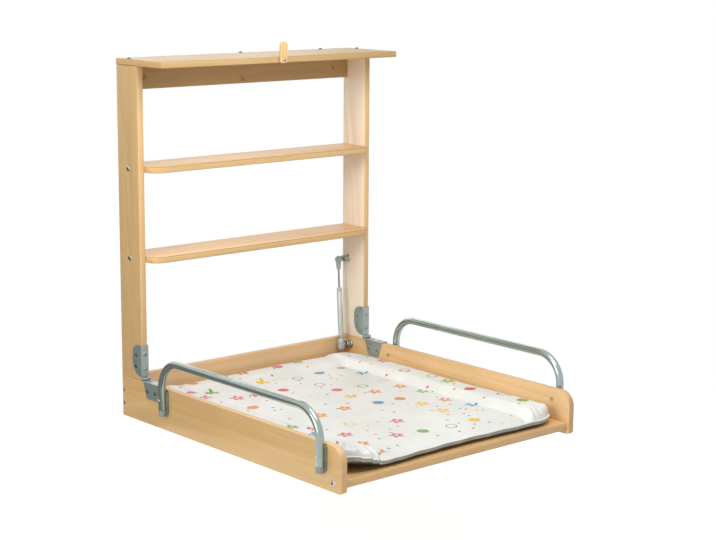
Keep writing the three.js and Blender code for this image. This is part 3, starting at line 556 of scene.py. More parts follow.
def strutPieces():
    p = gasStrut
    top, low = spot(p["x"], *p["top"]), spot(p["x"], *p["low"])
    axis = (low - top).normalized()
    length = (low - top).length * 1000
    ends = p["shankLength"]
    upper = ballOutline(p["socket"], 0, 0, 128) + [
        (7.3, 11), (6.9, 16), (6.4, 16.5), (6.4, 17.5), (6.7, 18), (p["shank"] + 0.2, ends - 1.3),
        (4.9, ends - 0.3), (0, ends - 0.3),
    ]
    mesh = turnedMesh("strutUpperSocket", upper, top, axis)
    finishPiece("strutUpperSocket", mesh, socketGrey, "strut_rod", ["strut_upper_socket"], 40)
    tubeTop = ends + p["rodVisible"]
    rod = [(0, ends - 12), (p["rod"], ends - 12), (p["rod"], tubeTop + 20), (0, tubeTop + 20)]
    mesh = turnedMesh("strutRod", rod, top, axis)
    finishPiece("strutRod", mesh, rodChrome, "strut_rod", ["strut_rod"])
    end = length - p["barrelReach"]
    tube = [(p["rod"] + 0.3, tubeTop + 4), (p["rod"] + 0.3, tubeTop), *roundedEnd(p["rod"] + 1.6, tubeTop, 0.6, False),
            (p["rod"] + 1.8, tubeTop + 1.2), *roundedEnd(p["tube"], tubeTop + 1.2, 2.2, False),
            (p["tube"], tubeTop + 11), (p["tube"] - 0.5, tubeTop + 11.8), (p["tube"] - 0.5, tubeTop + 13),
            (p["tube"], tubeTop + 13.8), (p["tube"], end - 2), *roundedEnd(p["tube"], end, 1.5, True), (0, end)]
    mesh = turnedMesh("strutCylinder", [(0, tubeTop + 4)] + tube, top, axis)
    finishPiece("strutCylinder", mesh, strutSilver, "strut_cylinder", ["strut_cylinder"], 40)
    lower = [(0, end + 0.3), (p["barrelShank"] - 0.6, end + 0.3), (p["barrelShank"], end + 0.9)]
    lower += ballOutline(p["barrel"], length - p["barrel"], 37, 90, 7)
    groove = length - p["barrel"] + 3.5
    lower += [(p["barrel"], groove), (p["barrel"] - 0.6, groove + 0.5), (p["barrel"] - 0.6, groove + 1.5),
              (p["barrel"], groove + 2)]
    lower += ballOutline(p["barrel"], length + p["tail"] - p["barrel"], 90, 180, 10)
    mesh = turnedMesh("strutLowerSocket", lower, top, axis)
    finishPiece("strutLowerSocket", mesh, socketGrey, "strut_cylinder", ["strut_lower_socket"], 40)


# Ball studs that the strut clips on, with a flange against the board
studs = {
    "strut_upper_stud": {"body": "wall_frame", "flange": 12.5, "foot": 4, "boss": 10.5, "collar": 14, "neck": 3},
    "strut_lower_stud": {"body": "tray", "flange": 13, "foot": 4, "boss": 11, "collar": 13, "neck": 5},
}


def strutStud(node, place, end):
    p = studs[node]
    step = p["foot"] + p["collar"]
    profile = [(0, 0.3), (p["flange"], 0.3), *roundedEnd(p["flange"], p["foot"], 1.5, True), (p["boss"] + 0.8, p["foot"]),
               (p["boss"], p["foot"] + 0.8), (p["boss"], step - 3.4), (p["boss"] - 0.9, step - 3), (p["boss"] - 0.9, step - 2),
               (p["boss"], step - 1.6), *roundedEnd(p["boss"], step + 1, 1.6, True), (p["neck"], step + 3), *end]
    mesh = turnedMesh(pieceName(node), profile, place, (-1, 0, 0))
    finishPiece(pieceName(node), mesh, studChrome, p["body"], [node], 40)


strutPieces()
reach = gasStrut["inner"] - gasStrut["x"]
strutStud("strut_upper_stud", spot(gasStrut["inner"], *gasStrut["top"]), ballOutline(5, reach, 37, 180))
lowEnd = reach - gasStrut["barrel"] - 0.5
strutStud("strut_lower_stud", spot(gasStrut["inner"], *gasStrut["low"]), [(5, lowEnd), (0, lowEnd)])
print("gas strut made")


# Geometry Nodes: one tree for the bent tubes and one for the screw heads
def newTree(name, inputs):
    tree = bpy.data.node_groups.new(name, "GeometryNodeTree")
    tree.interface.new_socket("Geometry", in_out="INPUT", socket_type="NodeSocketGeometry")
    for label, kind, value in inputs:
        made = tree.interface.new_socket(label, in_out="INPUT", socket_type=kind)
        if value is not None:
            made.default_value = value
    tree.interface.new_socket("Geometry", in_out="OUTPUT", socket_type="NodeSocketGeometry")
    return tree, tree.nodes.new("NodeGroupInput"), tree.nodes.new("NodeGroupOutput")


def treeNode(tree, kind, links=None, **settings):
    node = tree.nodes.new(kind)
    for key, value in settings.items():
        setattr(node, key, value)
    for key, value in (links or {}).items():
        if isinstance(value, bpy.types.NodeSocket):
            tree.links.new(value, node.inputs[key])
        else:
            node.inputs[key].default_value = value
    return node


def grown(name, mesh, tree, values):  # what the tree makes of a mesh, as a plain mesh
    base = bpy.data.objects.new(name, mesh)
    scene.collection.objects.link(base)
    modifier = base.modifiers.new("grow", "NODES")
    modifier.node_group = tree
    for item in tree.interface.items_tree:
        if item.item_type == "SOCKET" and item.in_out == "INPUT" and item.name in values:
            modifier[item.identifier] = values[item.name]
    seen = bpy.context.evaluated_depsgraph_get()
    result = bpy.data.meshes.new_from_object(base.evaluated_get(seen))
    base.modifiers.remove(modifier)
    bpy.data.objects.remove(base)
    result.name = name
    return result


def bentTubeTree():
    tree, given, out = newTree("bentTube", [
        ("Tube Radius", "NodeSocketFloat", 0.01), ("Bend Radius", "NodeSocketFloat", 0.07),
        ("Bend Steps", "NodeSocketInt", 20), ("Sides", "NodeSocketInt", 36), ("Paint", "NodeSocketMaterial", None),
    ])
    path = treeNode(tree, "GeometryNodeMeshToCurve", {"Mesh": given.outputs["Geometry"]})
    bent = treeNode(tree, "GeometryNodeFilletCurve", {
        "Curve": path.outputs[0], "Radius": given.outputs["Bend Radius"], "Count": given.outputs["Bend Steps"],
    }, mode="POLY")
    section = treeNode(tree, "GeometryNodeCurvePrimitiveCircle", {
        "Resolution": given.outputs["Sides"], "Radius": given.outputs["Tube Radius"],
    })
    swept = treeNode(tree, "GeometryNodeCurveToMesh", {
        "Curve": bent.outputs[0], "Profile Curve": section.outputs[0], "Fill Caps": True,
    })
    real = treeNode(tree, "GeometryNodeRealizeInstances", {"Geometry": swept.outputs[0]})
    painted = treeNode(tree, "GeometryNodeSetMaterial", {
        "Geometry": real.outputs[0], "Material": given.outputs["Paint"],
    })
    tree.links.new(painted.outputs[0], out.inputs[0])
    return tree


guardRail = {"top": 77, "bend": 72, "sides": 40, "steps": 22}
tubeTree = bentTubeTree()
for name, side in sideNames:
    p = railFittings
    route = [(p["rear"], p["foot"]), (p["rear"], guardRail["top"]), (p["front"], guardRail["top"]), (p["front"], p["foot"])]
    mesh = bpy.data.meshes.new(f"{name}GuardRailPath")
    mesh.from_pydata([spot(side * p["tubeX"], y, z) for y, z in route], [(0, 1), (1, 2), (2, 3)], [])
    tube = grown(f"{name}GuardRail", mesh, tubeTree, {
        "Tube Radius": p["tubeRadius"] / 1000, "Bend Radius": guardRail["bend"] / 1000,
        "Bend Steps": guardRail["steps"], "Sides": guardRail["sides"], "Paint": railSilver,
    })
    finishPiece(f"{name}GuardRail", tube, railSilver, "tray", [f"{name}_guard_rail"])
print("guard rails bent")


def screwTree():
    tree, given, out = newTree("screwHeads", [
        ("Rise", "NodeSocketFloat", 0.35), ("Recess", "NodeSocketFloat", 0.45), ("Recess Depth", "NodeSocketFloat", 0.3),
        ("Recess Sides", "NodeSocketInt", 6), ("Metal", "NodeSocketMaterial", None),
        ("Recess Shade Metal", "NodeSocketMaterial", None),
    ])
    tall = treeNode(tree, "ShaderNodeCombineXYZ", {"X": 1.0, "Y": 1.0, "Z": given.outputs["Rise"]})
    lift = treeNode(tree, "ShaderNodeCombineXYZ", {"Z": given.outputs["Rise"]})
    depth = treeNode(tree, "ShaderNodeMath", {0: given.outputs["Recess Depth"], 1: 2.0}, operation="MULTIPLY")
    dome = treeNode(tree, "GeometryNodeMeshUVSphere", {"Segments": 28, "Rings": 16, "Radius": 1.0})
    head = treeNode(tree, "GeometryNodeTransform", {"Geometry": dome.outputs[0], "Scale": tall.outputs[0]})
    key = treeNode(tree, "GeometryNodeMeshCylinder", {
        "Vertices": given.outputs["Recess Sides"], "Radius": given.outputs["Recess"], "Depth": depth.outputs[0],
    })
    keyed = treeNode(tree, "GeometryNodeTransform", {"Geometry": key.outputs[0], "Translation": lift.outputs[0]})
    marked = treeNode(tree, "GeometryNodeStoreNamedAttribute", {
        "Geometry": keyed.outputs[0], "Name": "recess", "Value": 1.0,
    }, data_type="FLOAT", domain="FACE")
    cutOut = treeNode(tree, "GeometryNodeMeshBoolean", {"Mesh 1": head.outputs[0], "Mesh 2": marked.outputs[0]},
                      operation="DIFFERENCE", solver="EXACT")
    facing = treeNode(tree, "GeometryNodeInputNamedAttribute", {"Name": "facing"}, data_type="FLOAT_VECTOR")
    size = treeNode(tree, "GeometryNodeInputNamedAttribute", {"Name": "headRadius"}, data_type="FLOAT")
    turn = treeNode(tree, "FunctionNodeAlignRotationToVector", {"Vector": facing.outputs[0]}, axis="Z")
    many = treeNode(tree, "GeometryNodeInstanceOnPoints", {
        "Points": given.outputs["Geometry"], "Instance": cutOut.outputs[0], "Rotation": turn.outputs[0],
        "Scale": size.outputs[0],
    })
    real = treeNode(tree, "GeometryNodeRealizeInstances", {"Geometry": many.outputs[0]})
    plated = treeNode(tree, "GeometryNodeSetMaterial", {
        "Geometry": real.outputs[0], "Material": given.outputs["Metal"],
    })
    # The recess takes the dark steel: painted shade in the recess
    inside = treeNode(tree, "GeometryNodeInputNamedAttribute", {"Name": "recess"}, data_type="FLOAT")
    isInside = treeNode(tree, "FunctionNodeCompare", {0: inside.outputs[0], 1: 0.5}, data_type="FLOAT",
                        operation="GREATER_THAN")
    darkened = treeNode(tree, "GeometryNodeSetMaterial", {
        "Geometry": plated.outputs[0], "Selection": isInside.outputs[0], "Material": given.outputs["Recess Shade Metal"],
    })
    tree.links.new(darkened.outputs[0], out.inputs[0])
    return tree


headTree = screwTree()


def screwHeads(name, places, metal, slotName, body, stands=(), **sizes):
    mesh = bpy.data.meshes.new(f"{name}Places")
    mesh.from_pydata([spot(*place) for place, facing, radius in places], [], [])
    aims = mesh.attributes.new("facing", "FLOAT_VECTOR", "POINT")
    aims.data.foreach_set("vector", [v for place, facing, radius in places for v in facing])
    radii = mesh.attributes.new("headRadius", "FLOAT", "POINT")
    radii.data.foreach_set("value", [radius / 1000 for place, facing, radius in places])
    heads = grown(name, mesh, headTree, {
        "Rise": sizes["rise"], "Recess": sizes["recess"], "Recess Depth": sizes["depth"],
        "Recess Sides": sizes["sides"], "Metal": metal, "Recess Shade Metal": recessShadeSteel,
    })
    finishPiece(name, heads, None, body, stands, 40)


screws = {
    "outer": 390, "shelves": {"upper": 548.5, "lower": 317}, "shelfY": -46, "shelfHead": 7.2,
    "topZ": 826.3, "topHead": 5.2, "topPlaces": {"left": (-381, -46), "middle": (0, -9), "rail": (279, -9), "right": (381, -46)},
    "rear": {"upper": -38.5, "lower": -74.5}, "rearY": -9, "rearHead": 4.6,
    "floor": (-855, -89.3), "floorHead": 7.6, "button": (-12, -212.5, 818.3), "buttonHead": 4.6,
}
shelfHeads = [((side * screws["outer"], screws["shelfY"], z), (side, 0, 0), screws["shelfHead"])
              for name, side in sideNames for z in screws["shelves"].values()]
screwHeads("shelfScrewHeads", shelfHeads, nickel, "nickel", "wall_frame",
           [f"{shelf}_shelf_{name}_screw" for name, side in sideNames for shelf in screws["shelves"]],
           rise=0.3, recess=0.5, depth=0.34, sides=6)
topHeads = [((*place, screws["topZ"]), (0, 0, 1), screws["topHead"]) for place in screws["topPlaces"].values()]
# The top screws are dark steel all over: painted shade in their sunk holes
screwHeads("topScrewHeads", topHeads, recessShadeSteel, "nickel", "wall_frame",
           [f"top_screw_{place}" for place in screws["topPlaces"]], rise=0.66, recess=0.34, depth=0.3, sides=6)
screwHeads("buttonScrewHead", [(screws["button"], (0, -1, 0), screws["buttonHead"])], screwSteel, "nickel", "wall_frame",
           ["button_screw"], rise=0.5, recess=0.36, depth=0.3, sides=6)
rearHeads = [((side * screws["outer"], screws["rearY"], z), (side, 0, 0), screws["rearHead"])
             for name, side in sideNames for z in screws["rear"].values()]
floorHeads = [((side * screws["outer"], *screws["floor"]), (side, 0, 0), screws["floorHead"]) for name, side in sideNames]
screwHeads("trayScrewHeads", rearHeads + floorHeads, nickel, "nickel", "tray",
           [f"rear_{z}_{name}_screw" for name, side in sideNames for z in screws["rear"]]
           + [f"floor_{name}_screw" for name, side in sideNames], rise=0.3, recess=0.5, depth=0.34, sides=6)

# Small screws that hold the hinge leaves, on the outer and inner flanges and the webs
hingeScrews = {"outer": 392.8, "inner": 369.2, "middle": 381, "web": -94.8, "lid": 2.5, "head": 5.0}
upperSpots = [(-72, 66), (-70, 36)]
lowerSpots = [(-120, -22), (-155, -22)]
frameSpots, traySpots, frameOuter, trayOuter = [], [], [], []
for name, side in sideNames:
    p = hingeScrews
    for x, way, upperSet, lowerSet in (
        (p["outer"], side, frameOuter, trayOuter), (p["inner"], -side, frameSpots, traySpots),
    ):
        upperSet += [((side * x, y, z), (way, 0, 0), p["head"]) for y, z in upperSpots]
        lowerSet += [((side * x, y, z), (way, 0, 0), p["head"]) for y, z in lowerSpots]
    frameSpots += [((side * p["middle"], p["web"], z), (0, -1, 0), p["head"]) for z in (30, 70)]
    traySpots += [((side * p["middle"], y, p["lid"]), (0, 0, 1), p["head"]) for y in (-124, -156)]
# The outer hinge screws are dark steel all over: painted shade in their holes
for label, places, metal, body in (
    ("hingeFrameScrews", frameSpots, screwSteel, "wall_frame"), ("hingeTrayScrews", traySpots, screwSteel, "tray"),
    ("hingeFrameOuter", frameOuter, recessShadeSteel, "wall_frame"), ("hingeTrayOuter", trayOuter, recessShadeSteel, "tray"),
):
    screwHeads(label, places, metal, "nickel", body, rise=0.36, recess=0.52, depth=0.5, sides=6)
print("screws set")


# Padded mat: side bolsters and a rear rim round a flat middle, front corners gathered, one of them curled up
mat = {
    "half": 0.364, "back": -0.031, "front": -0.868, "floor": -0.0800 + feetLevel, "upperEdge": 0.0135,
    "lowerEdge": 0.003, "middle": 0.025, "rim": 0.042, "rearRim": 0.037, "frontEdge": 0.0165, "rimSpan": 0.118,
    "rimSlope": 0.036, "frontSpan": 0.07, "round": 0.062, "roundRight": 0.03, "cutRight": 0.115, "edge": 0.075, "frontDraw": 0.012, "rearDraw": 0.008,
    "sideDraw": 0.004, "curl": 0.029, "curlAcross": 0.15, "curlAlong": 0.19, "columns": 150, "rows": 170,
    "voxel": 0.005, "pressure": 4.0, "frames": 12, "cap": 0.006, "channel": 0.0035, "channelWidth": 0.008,
    "frontLift": 0.0055, "frontLiftSpan": 0.07, "noseAt": -0.62, "noseWide": 0.2, "noseOut": 0.004, "seamHold": 0.05,
}


def ease(value, low, high):
    t = np.clip((value - low) / (high - low), 0, 1)
    return t * t * (3 - 2 * t)


def matReach(across, along):
    depth = (mat["back"] - mat["front"]) / 2
    return mat["half"] * (1 - np.abs(across)), depth * (1 - along), depth * (1 + along)


def matPlan(across, along):
    depth = (mat["back"] - mat["front"]) / 2
    draw = np.where(along < 0, mat["frontDraw"], mat["rearDraw"])
    wide = mat["half"] - mat["sideDraw"] * (1 - along ** 2)
    deep = depth - draw * (1 - across ** 2)
    nearRight = (across > 0) & (along < 0)
    x = wide * across * (1 - np.where(nearRight, mat["roundRight"], mat["round"]) * along ** 16)
    y = deep * along * (1 - np.where(nearRight, mat["cutRight"], mat["round"]) * across ** 16)
    y = y + (mat["back"] + mat["front"]) / 2
    nose = mat["noseOut"] * np.exp(-((across - mat["noseAt"]) / mat["noseWide"]) ** 2)
    return x, y - nose * np.clip(-along, 0, 1) ** 6


def matHeight(across, along):
    side, rear, front = matReach(across, along)
    step = mat["rimSpan"] - mat["rimSlope"]
    sideRim = (mat["rim"] - mat["middle"]) * (1 - ease(side, step, mat["rimSpan"]))
    rearRim = (mat["rearRim"] - mat["middle"]) * (1 - ease(rear, step, mat["rimSpan"]))
    nearFront = (1 - ease(front, 0, mat["frontSpan"])) * ease(side, 0, mat["rimSpan"])
    return mat["middle"] + np.maximum(sideRim, rearRim) - (mat["middle"] - mat["frontEdge"]) * nearFront


def matLift(across, along):
    side, rear, front = matReach(across, along)
    raised = (1 - ease(side, 0, mat["curlAcross"])) * (1 - ease(front, 0, mat["curlAlong"]))
    tipped = mat["frontLift"] * (1 - ease(front, 0, mat["frontLiftSpan"]))
    return np.maximum(np.where(across < 0, mat["curl"] * raised, 0), tipped)


def matSurface(across, along, upper):
    x, y = matPlan(across, along)
    depth = (mat["back"] - mat["front"]) / 2
    inset = np.minimum(1 - np.abs(across), (1 - np.abs(along)) * depth / mat["half"])
    full = np.clip(inset / mat["edge"], 0, 1)
    swell = np.sqrt(full * (2 - full))
    top = mat["upperEdge"] + (matHeight(across, along) - mat["upperEdge"]) * swell
    low = mat["lowerEdge"] * (1 - swell)
    z = mat["floor"] + np.where(upper, top, low) + matLift(across, along)
    return np.stack([x, y, z], -1)


def gridLines(count):
    t = np.linspace(-1, 1, count + 1)
    return np.sin(t * math.pi / 2) * 0.4 + t * 0.6


def rawMat():
    columns, rows = mat["columns"], mat["rows"]
    across, along = np.meshgrid(gridLines(columns), gridLines(rows), indexing="ij")
    count = (columns + 1) * (rows + 1)
    points = np.concatenate([matSurface(across, along, True).reshape(-1, 3), matSurface(across, along, False).reshape(-1, 3)])
    at = lambda i, j, face: i * (rows + 1) + j + face * count
    faces = []
    for i in range(columns):
        for j in range(rows):
            faces.append((at(i, j, 0), at(i + 1, j, 0), at(i + 1, j + 1, 0), at(i, j + 1, 0)))
            faces.append((at(i, j, 1), at(i, j + 1, 1), at(i + 1, j + 1, 1), at(i + 1, j, 1)))
    rim = [(i, 0) for i in range(columns)] + [(columns, j) for j in range(rows)]
    rim += [(i, rows) for i in range(columns, 0, -1)] + [(0, j) for j in range(rows, 0, -1)]
    for (i, j), (k, m) in zip(rim, rim[1:] + rim[:1]):
        faces.append((at(i, j, 1), at(k, m, 1), at(k, m, 0), at(i, j, 0)))
    mesh = bpy.data.meshes.new("matRaw")
    mesh.from_pydata(points.tolist(), [], faces)
    return mesh


def evaluatedMesh(piece):
    seen = bpy.context.evaluated_depsgraph_get()
    return bpy.data.meshes.new_from_object(piece.evaluated_get(seen))


def pointsOf(mesh):
    flat = np.zeros(len(mesh.vertices) * 3)
    mesh.vertices.foreach_get("co", flat)
    return flat.reshape(-1, 3)


def setPoints(mesh, points):
    mesh.vertices.foreach_set("co", points.reshape(-1))
    mesh.update()


def normalsOf(mesh):
    flat = np.zeros(len(mesh.vertices) * 3)
    mesh.vertex_normals.foreach_get("vector", flat)
    return flat.reshape(-1, 3)


def swollen(mesh):  # an even remesh, then cloth under pressure, with each point's travel capped
    piece = bpy.data.objects.new("matSwell", mesh)
    scene.collection.objects.link(piece)
    remesh = piece.modifiers.new("even", "REMESH")
    remesh.mode = "VOXEL"
    remesh.voxel_size = mat["voxel"]
    relax = piece.modifiers.new("relax", "SMOOTH")
    relax.factor = 0.5
    relax.iterations = 3
    even = evaluatedMesh(piece)
    piece.modifiers.clear()
    piece.data = even
    before = pointsOf(even)
    cloth = piece.modifiers.new("swell", "CLOTH")
    cloth.settings.quality = 4
    cloth.settings.mass = 0.3
    cloth.settings.tension_stiffness = 12
    cloth.settings.compression_stiffness = 12
    cloth.settings.shear_stiffness = 4
    cloth.settings.bending_stiffness = 0.4
    cloth.settings.use_pressure = True
    cloth.settings.uniform_pressure_force = mat["pressure"]
    cloth.settings.effector_weights.gravity = 0
    cloth.collision_settings.use_collision = False
    cloth.point_cache.frame_start = 1
    cloth.point_cache.frame_end = mat["frames"]
    for step in range(1, mat["frames"] + 1):
        scene.frame_set(step)
    after = pointsOf(evaluatedMesh(piece))
    scene.frame_set(1)
    piece.modifiers.clear()
    move = after - before
    length = np.linalg.norm(move, axis=1, keepdims=True)
    hold = ease(np.min(matReach(*planOf(before)), axis=0), 0, mat["seamHold"])[:, None]  # the sewn edge stays
    setPoints(even, before + move * np.minimum(1, mat["cap"] * hold / np.maximum(length, 1e-9)))
    bpy.data.objects.remove(piece)
    return even


def planOf(points):  # how far across and along the mat a point is, from its place
    depth = (mat["back"] - mat["front"]) / 2
    across = np.clip(points[:, 0] / mat["half"], -1, 1)
    along = np.clip((points[:, 1] - (mat["back"] + mat["front"]) / 2) / depth, -1, 1)
    return across, along


# Folds that run out from a gathered corner
gathers = [
    {"corner": (-0.285, -0.775), "count": 19, "height": 0.017, "reach": 0.088, "spread": 0.048, "turn": 0.4,
     "aim": -1.95, "fan": 0.8},
    {"corner": (0.285, -0.775), "count": 19, "height": 0.0045, "reach": 0.086, "spread": 0.036, "turn": 1.1,
     "aim": -0.95, "fan": 0.8},
    {"corner": (-0.310, -0.090), "count": 18, "height": 0.0018, "reach": 0.060, "spread": 0.03, "turn": 0.2,
     "aim": 2.3, "fan": 0.7},
    {"corner": (0.310, -0.090), "count": 18, "height": 0.0018, "reach": 0.060, "spread": 0.03, "turn": 0.7,
     "aim": 0.85, "fan": 0.7},
]


def gatherAt(points, fold):
    away = points[:, :2] - np.array(fold["corner"])
    distance = np.linalg.norm(away, axis=1)
    angle = np.arctan2(away[:, 1], away[:, 0])
    swing = np.abs((angle - fold["aim"] + math.pi) % (2 * math.pi) - math.pi)
    near = np.exp(-((distance - fold["reach"]) / fold["spread"]) ** 2) * (1 - ease(swing, fold["fan"], fold["fan"] + 0.6))
    # Facets with one steep and one gentle side, uneven in width and height
    bent = angle + 0.1 * np.sin(5 * angle + fold["turn"]) + 0.8 * distance
    step = bent * fold["count"] / (2 * math.pi) + fold["turn"]
    part = step % 1
    ridge = np.where(part < 0.68, part / 0.68, (1 - part) / 0.32)
    uneven = 0.7 + 0.4 * np.sin(2.6 * np.floor(step) + fold["turn"])
    return near, (ridge * uneven - 0.45) * fold["height"] * near


def refined(mesh):  # twice as many points along each edge where the cover is gathered
    build = bmesh.new()
    build.from_mesh(mesh)
    points = pointsOf(mesh)
    near = np.max([gatherAt(points, fold)[0] for fold in gathers], axis=0)
    build.verts.ensure_lookup_table()
    close = [e for e in build.edges if min(near[v.index] for v in e.verts) > 0.08]
    bmesh.ops.subdivide_edges(build, edges=close, cuts=1, use_grid_fill=True, smooth=0.0)
    build.to_mesh(mesh)
    build.free()
    return mesh


def shapedMat(mesh):
    points, normals = pointsOf(mesh), normalsOf(mesh)
    across, along = planOf(points)
    side, rear, front = matReach(across, along)
    top = ease(normals[:, 2], 0.1, 0.6)
    sewn = np.exp(-((side - mat["rimSpan"]) / mat["channelWidth"]) ** 2) * ease(rear, 0.06, 0.12)
    sewn = np.maximum(sewn, np.exp(-((rear - mat["rimSpan"]) / mat["channelWidth"]) ** 2) * ease(side, 0.06, 0.12))
    drop = -mat["channel"] * sewn
    # Slack along the sewn lines and across the bolsters
    ripple = 0.0009 * np.sin(points[:, 1] * 95 + 2 * np.sin(points[:, 1] * 23))
    ripple = ripple * np.exp(-((side - mat["rimSpan"] + 0.02) / 0.03) ** 2)
    sway = 0.0016 * np.sin(points[:, 0] * 13 + 0.6) * np.sin(points[:, 1] * 11 + 1.3)
    gathered = np.zeros(len(points))
    folds = np.zeros(len(points))
    for fold in gathers:
        near, height = gatherAt(points, fold)
        gathered = np.maximum(gathered, near)
        folds = folds + height
    points[:, 2] += (drop + ripple + sway) * top
    points += normals * (folds * ease(normals[:, 2], -0.35, 0.2))[:, None]
    # It rests flat on the floor panel, except where the corner stands clear
    lowest = mat["floor"] + 0.0004
    points[:, 2] = np.maximum(points[:, 2], lowest)
    setPoints(mesh, points)
    printed = mesh.attributes.new("printed", "FLOAT", "POINT")
    inside = ease(np.minimum(np.minimum(side, rear), front), 0.024, 0.034)
    printed.data.foreach_set("value", (inside * ease(normalsOf(mesh)[:, 2], 0.25, 0.5)).astype(np.float32))
    # Downward faces are marked for the dark grey of painted shade under the mat
    underShade = ease(-normalsOf(mesh)[:, 2], 0.35, 0.7).astype(np.float32)
    mesh.attributes.new("underside", "FLOAT", "POINT").data.foreach_set("value", underShade)
    creased = mesh.attributes.new("gathered", "FLOAT", "POINT")
    creased.data.foreach_set("value", np.clip(gathered + 0.5 * sewn, 0, 1).astype(np.float32))
    return mesh


def weltLoop(count=220):  # the outline of the mat at its upper edge
    t = np.linspace(-1, 1, count, endpoint=False)
    full = np.ones(count)
    across = np.concatenate([t, full, -t, -full])
    along = np.concatenate([-full, t, full, -t])
    return matSurface(across, along, np.ones(4 * count, bool))


# The sewn edge: a lip along the seam and a flat band under it, down to the underside
matWelt = {"lip": 0.0040, "lipTop": 0.0013, "lipLow": 0.0013, "band": 0.0012, "inside": 0.006, "tape": (3, 4, 5, 6), "sole": (7, 8)}


def weltMesh():
    p = matWelt
    loop = weltLoop()
    ahead = np.roll(loop, -3, 0) - np.roll(loop, 3, 0)
    outwards = np.stack([ahead[:, 1], -ahead[:, 0], np.zeros(len(loop))], -1)
    outwards /= np.linalg.norm(outwards, axis=1, keepdims=True)
    drop = mat["upperEdge"] - mat["lowerEdge"]
    section = [
        (-p["inside"], p["lipTop"]), (p["lip"] * 0.6, p["lipTop"]), (p["lip"], p["lipTop"] * 0.3),
        (p["lip"], -p["lipLow"] * 0.5), (p["lip"] * 0.7, -p["lipLow"]), (p["band"], -p["lipLow"] * 1.4),
        (p["band"], -drop * 0.4), (p["band"] * 0.6, 0.001 - drop), (-0.001, -drop), (-p["inside"], -drop),
    ]
    fold = np.zeros(len(loop))
    for gather in gathers:
        fold = fold + gatherAt(loop, gather)[1]
    step = np.arange(len(loop))
    wander = 0.0006 * np.sin(step * 0.21) + 0.0005 * np.sin(step * 0.067)
    build = bmesh.new()
    rows = []
    for reachOut, height in section:
        ring = loop + outwards * (reachOut + 0.4 * fold)[:, None]
        ring[:, 2] += height + wander + 0.35 * fold
        ring[:, 2] = np.maximum(ring[:, 2], mat["floor"] + 0.0006)
        rows.append([build.verts.new(v) for v in ring.tolist()])
    for row, (near, far) in enumerate(zip(rows, rows[1:] + rows[:1])):
        for i in range(len(loop)):
            j = (i + 1) % len(loop)
            made = build.faces.new((near[i], near[j], far[j], far[i]))
            # Rows under the lip take grey and the lowest rows near-black: painted shade under the lip and beneath the
            # edge
            made.material_index = 2 if row in p["sole"] else int(row in p["tape"])
    bmesh.ops.recalc_face_normals(build, faces=build.faces)
    mesh = meshFrom("matWelt", build)
    mesh.materials.append(vinyl)
    mesh.materials.append(seamTapeAndShade)
    mesh.materials.append(soleShade)
    return mesh


matMesh = shapedMat(refined(swollen(rawMat())))
changingMat = finishPiece("changingMat", matMesh, vinyl, "tray", ["changing_mat"], 180)
finishPiece("matWelt", weltMesh(), None, "tray", (), 50)
print("mat shaped:", len(matMesh.polygons), "faces")


# Pale floor that goes over to white, soft light from above and in front
studio = {
    "floorSize": 60.0, "floorDrop": 0.3, "floorTone": 0.85, "glow": 0.72, "nearEdge": 0.7, "farEdge": 2.2, "horizon": 0.25, "zenith": 0.5,
    "key": {"place": (-0.27, -1.2, 0.72), "aim": (0.1, -0.25, -0.35), "size": (0.75, 0.9), "power": 14.5},
    "top": {"place": (0.1, -1.0, 1.9), "aim": (0.0, -0.6, -0.8), "size": (1.4, 1.0), "power": 2.5},
    "left": {"place": (-4.6, -1.05, 0.6), "aim": (0.0, -0.3, -0.4), "size": (2.2, 2.2), "power": 100},
    "back": {"place": (0.7, 2.2, 1.0), "aim": (0.0, -0.4, -0.7), "size": (2.6, 1.2), "power": 11, "gloss": True},
    "flags": [  # dark cards that only show in the metal, for contrast
        {"corners": ((-3.2, -0.2), (0.4, 2.8)), "low": -0.885, "high": -0.25},
        {"corners": ((-3.2, -0.45), (-0.47, -0.45), (0.4, 2.8), (-3.2, 2.8)), "low": -0.885},
    ],
}


def addLamp(name):
    p = studio[name]
    data = bpy.data.lights.new(f"{name}Lamp", "AREA")
    data.shape = "RECTANGLE"
    data.size, data.size_y = p["size"]
    data.energy = p["power"]
    lamp = bpy.data.objects.new(f"{name}Lamp", data)
    scene.collection.objects.link(lamp)
    place = Vector(p["place"])
    turn = (Vector(p["aim"]) - place).to_track_quat("-Z", "Y")
    lamp.matrix_world = Matrix.Translation(place) @ turn.to_matrix().to_4x4()
    lamp.visible_camera = False
    lamp.visible_diffuse = not p.get("gloss", False)


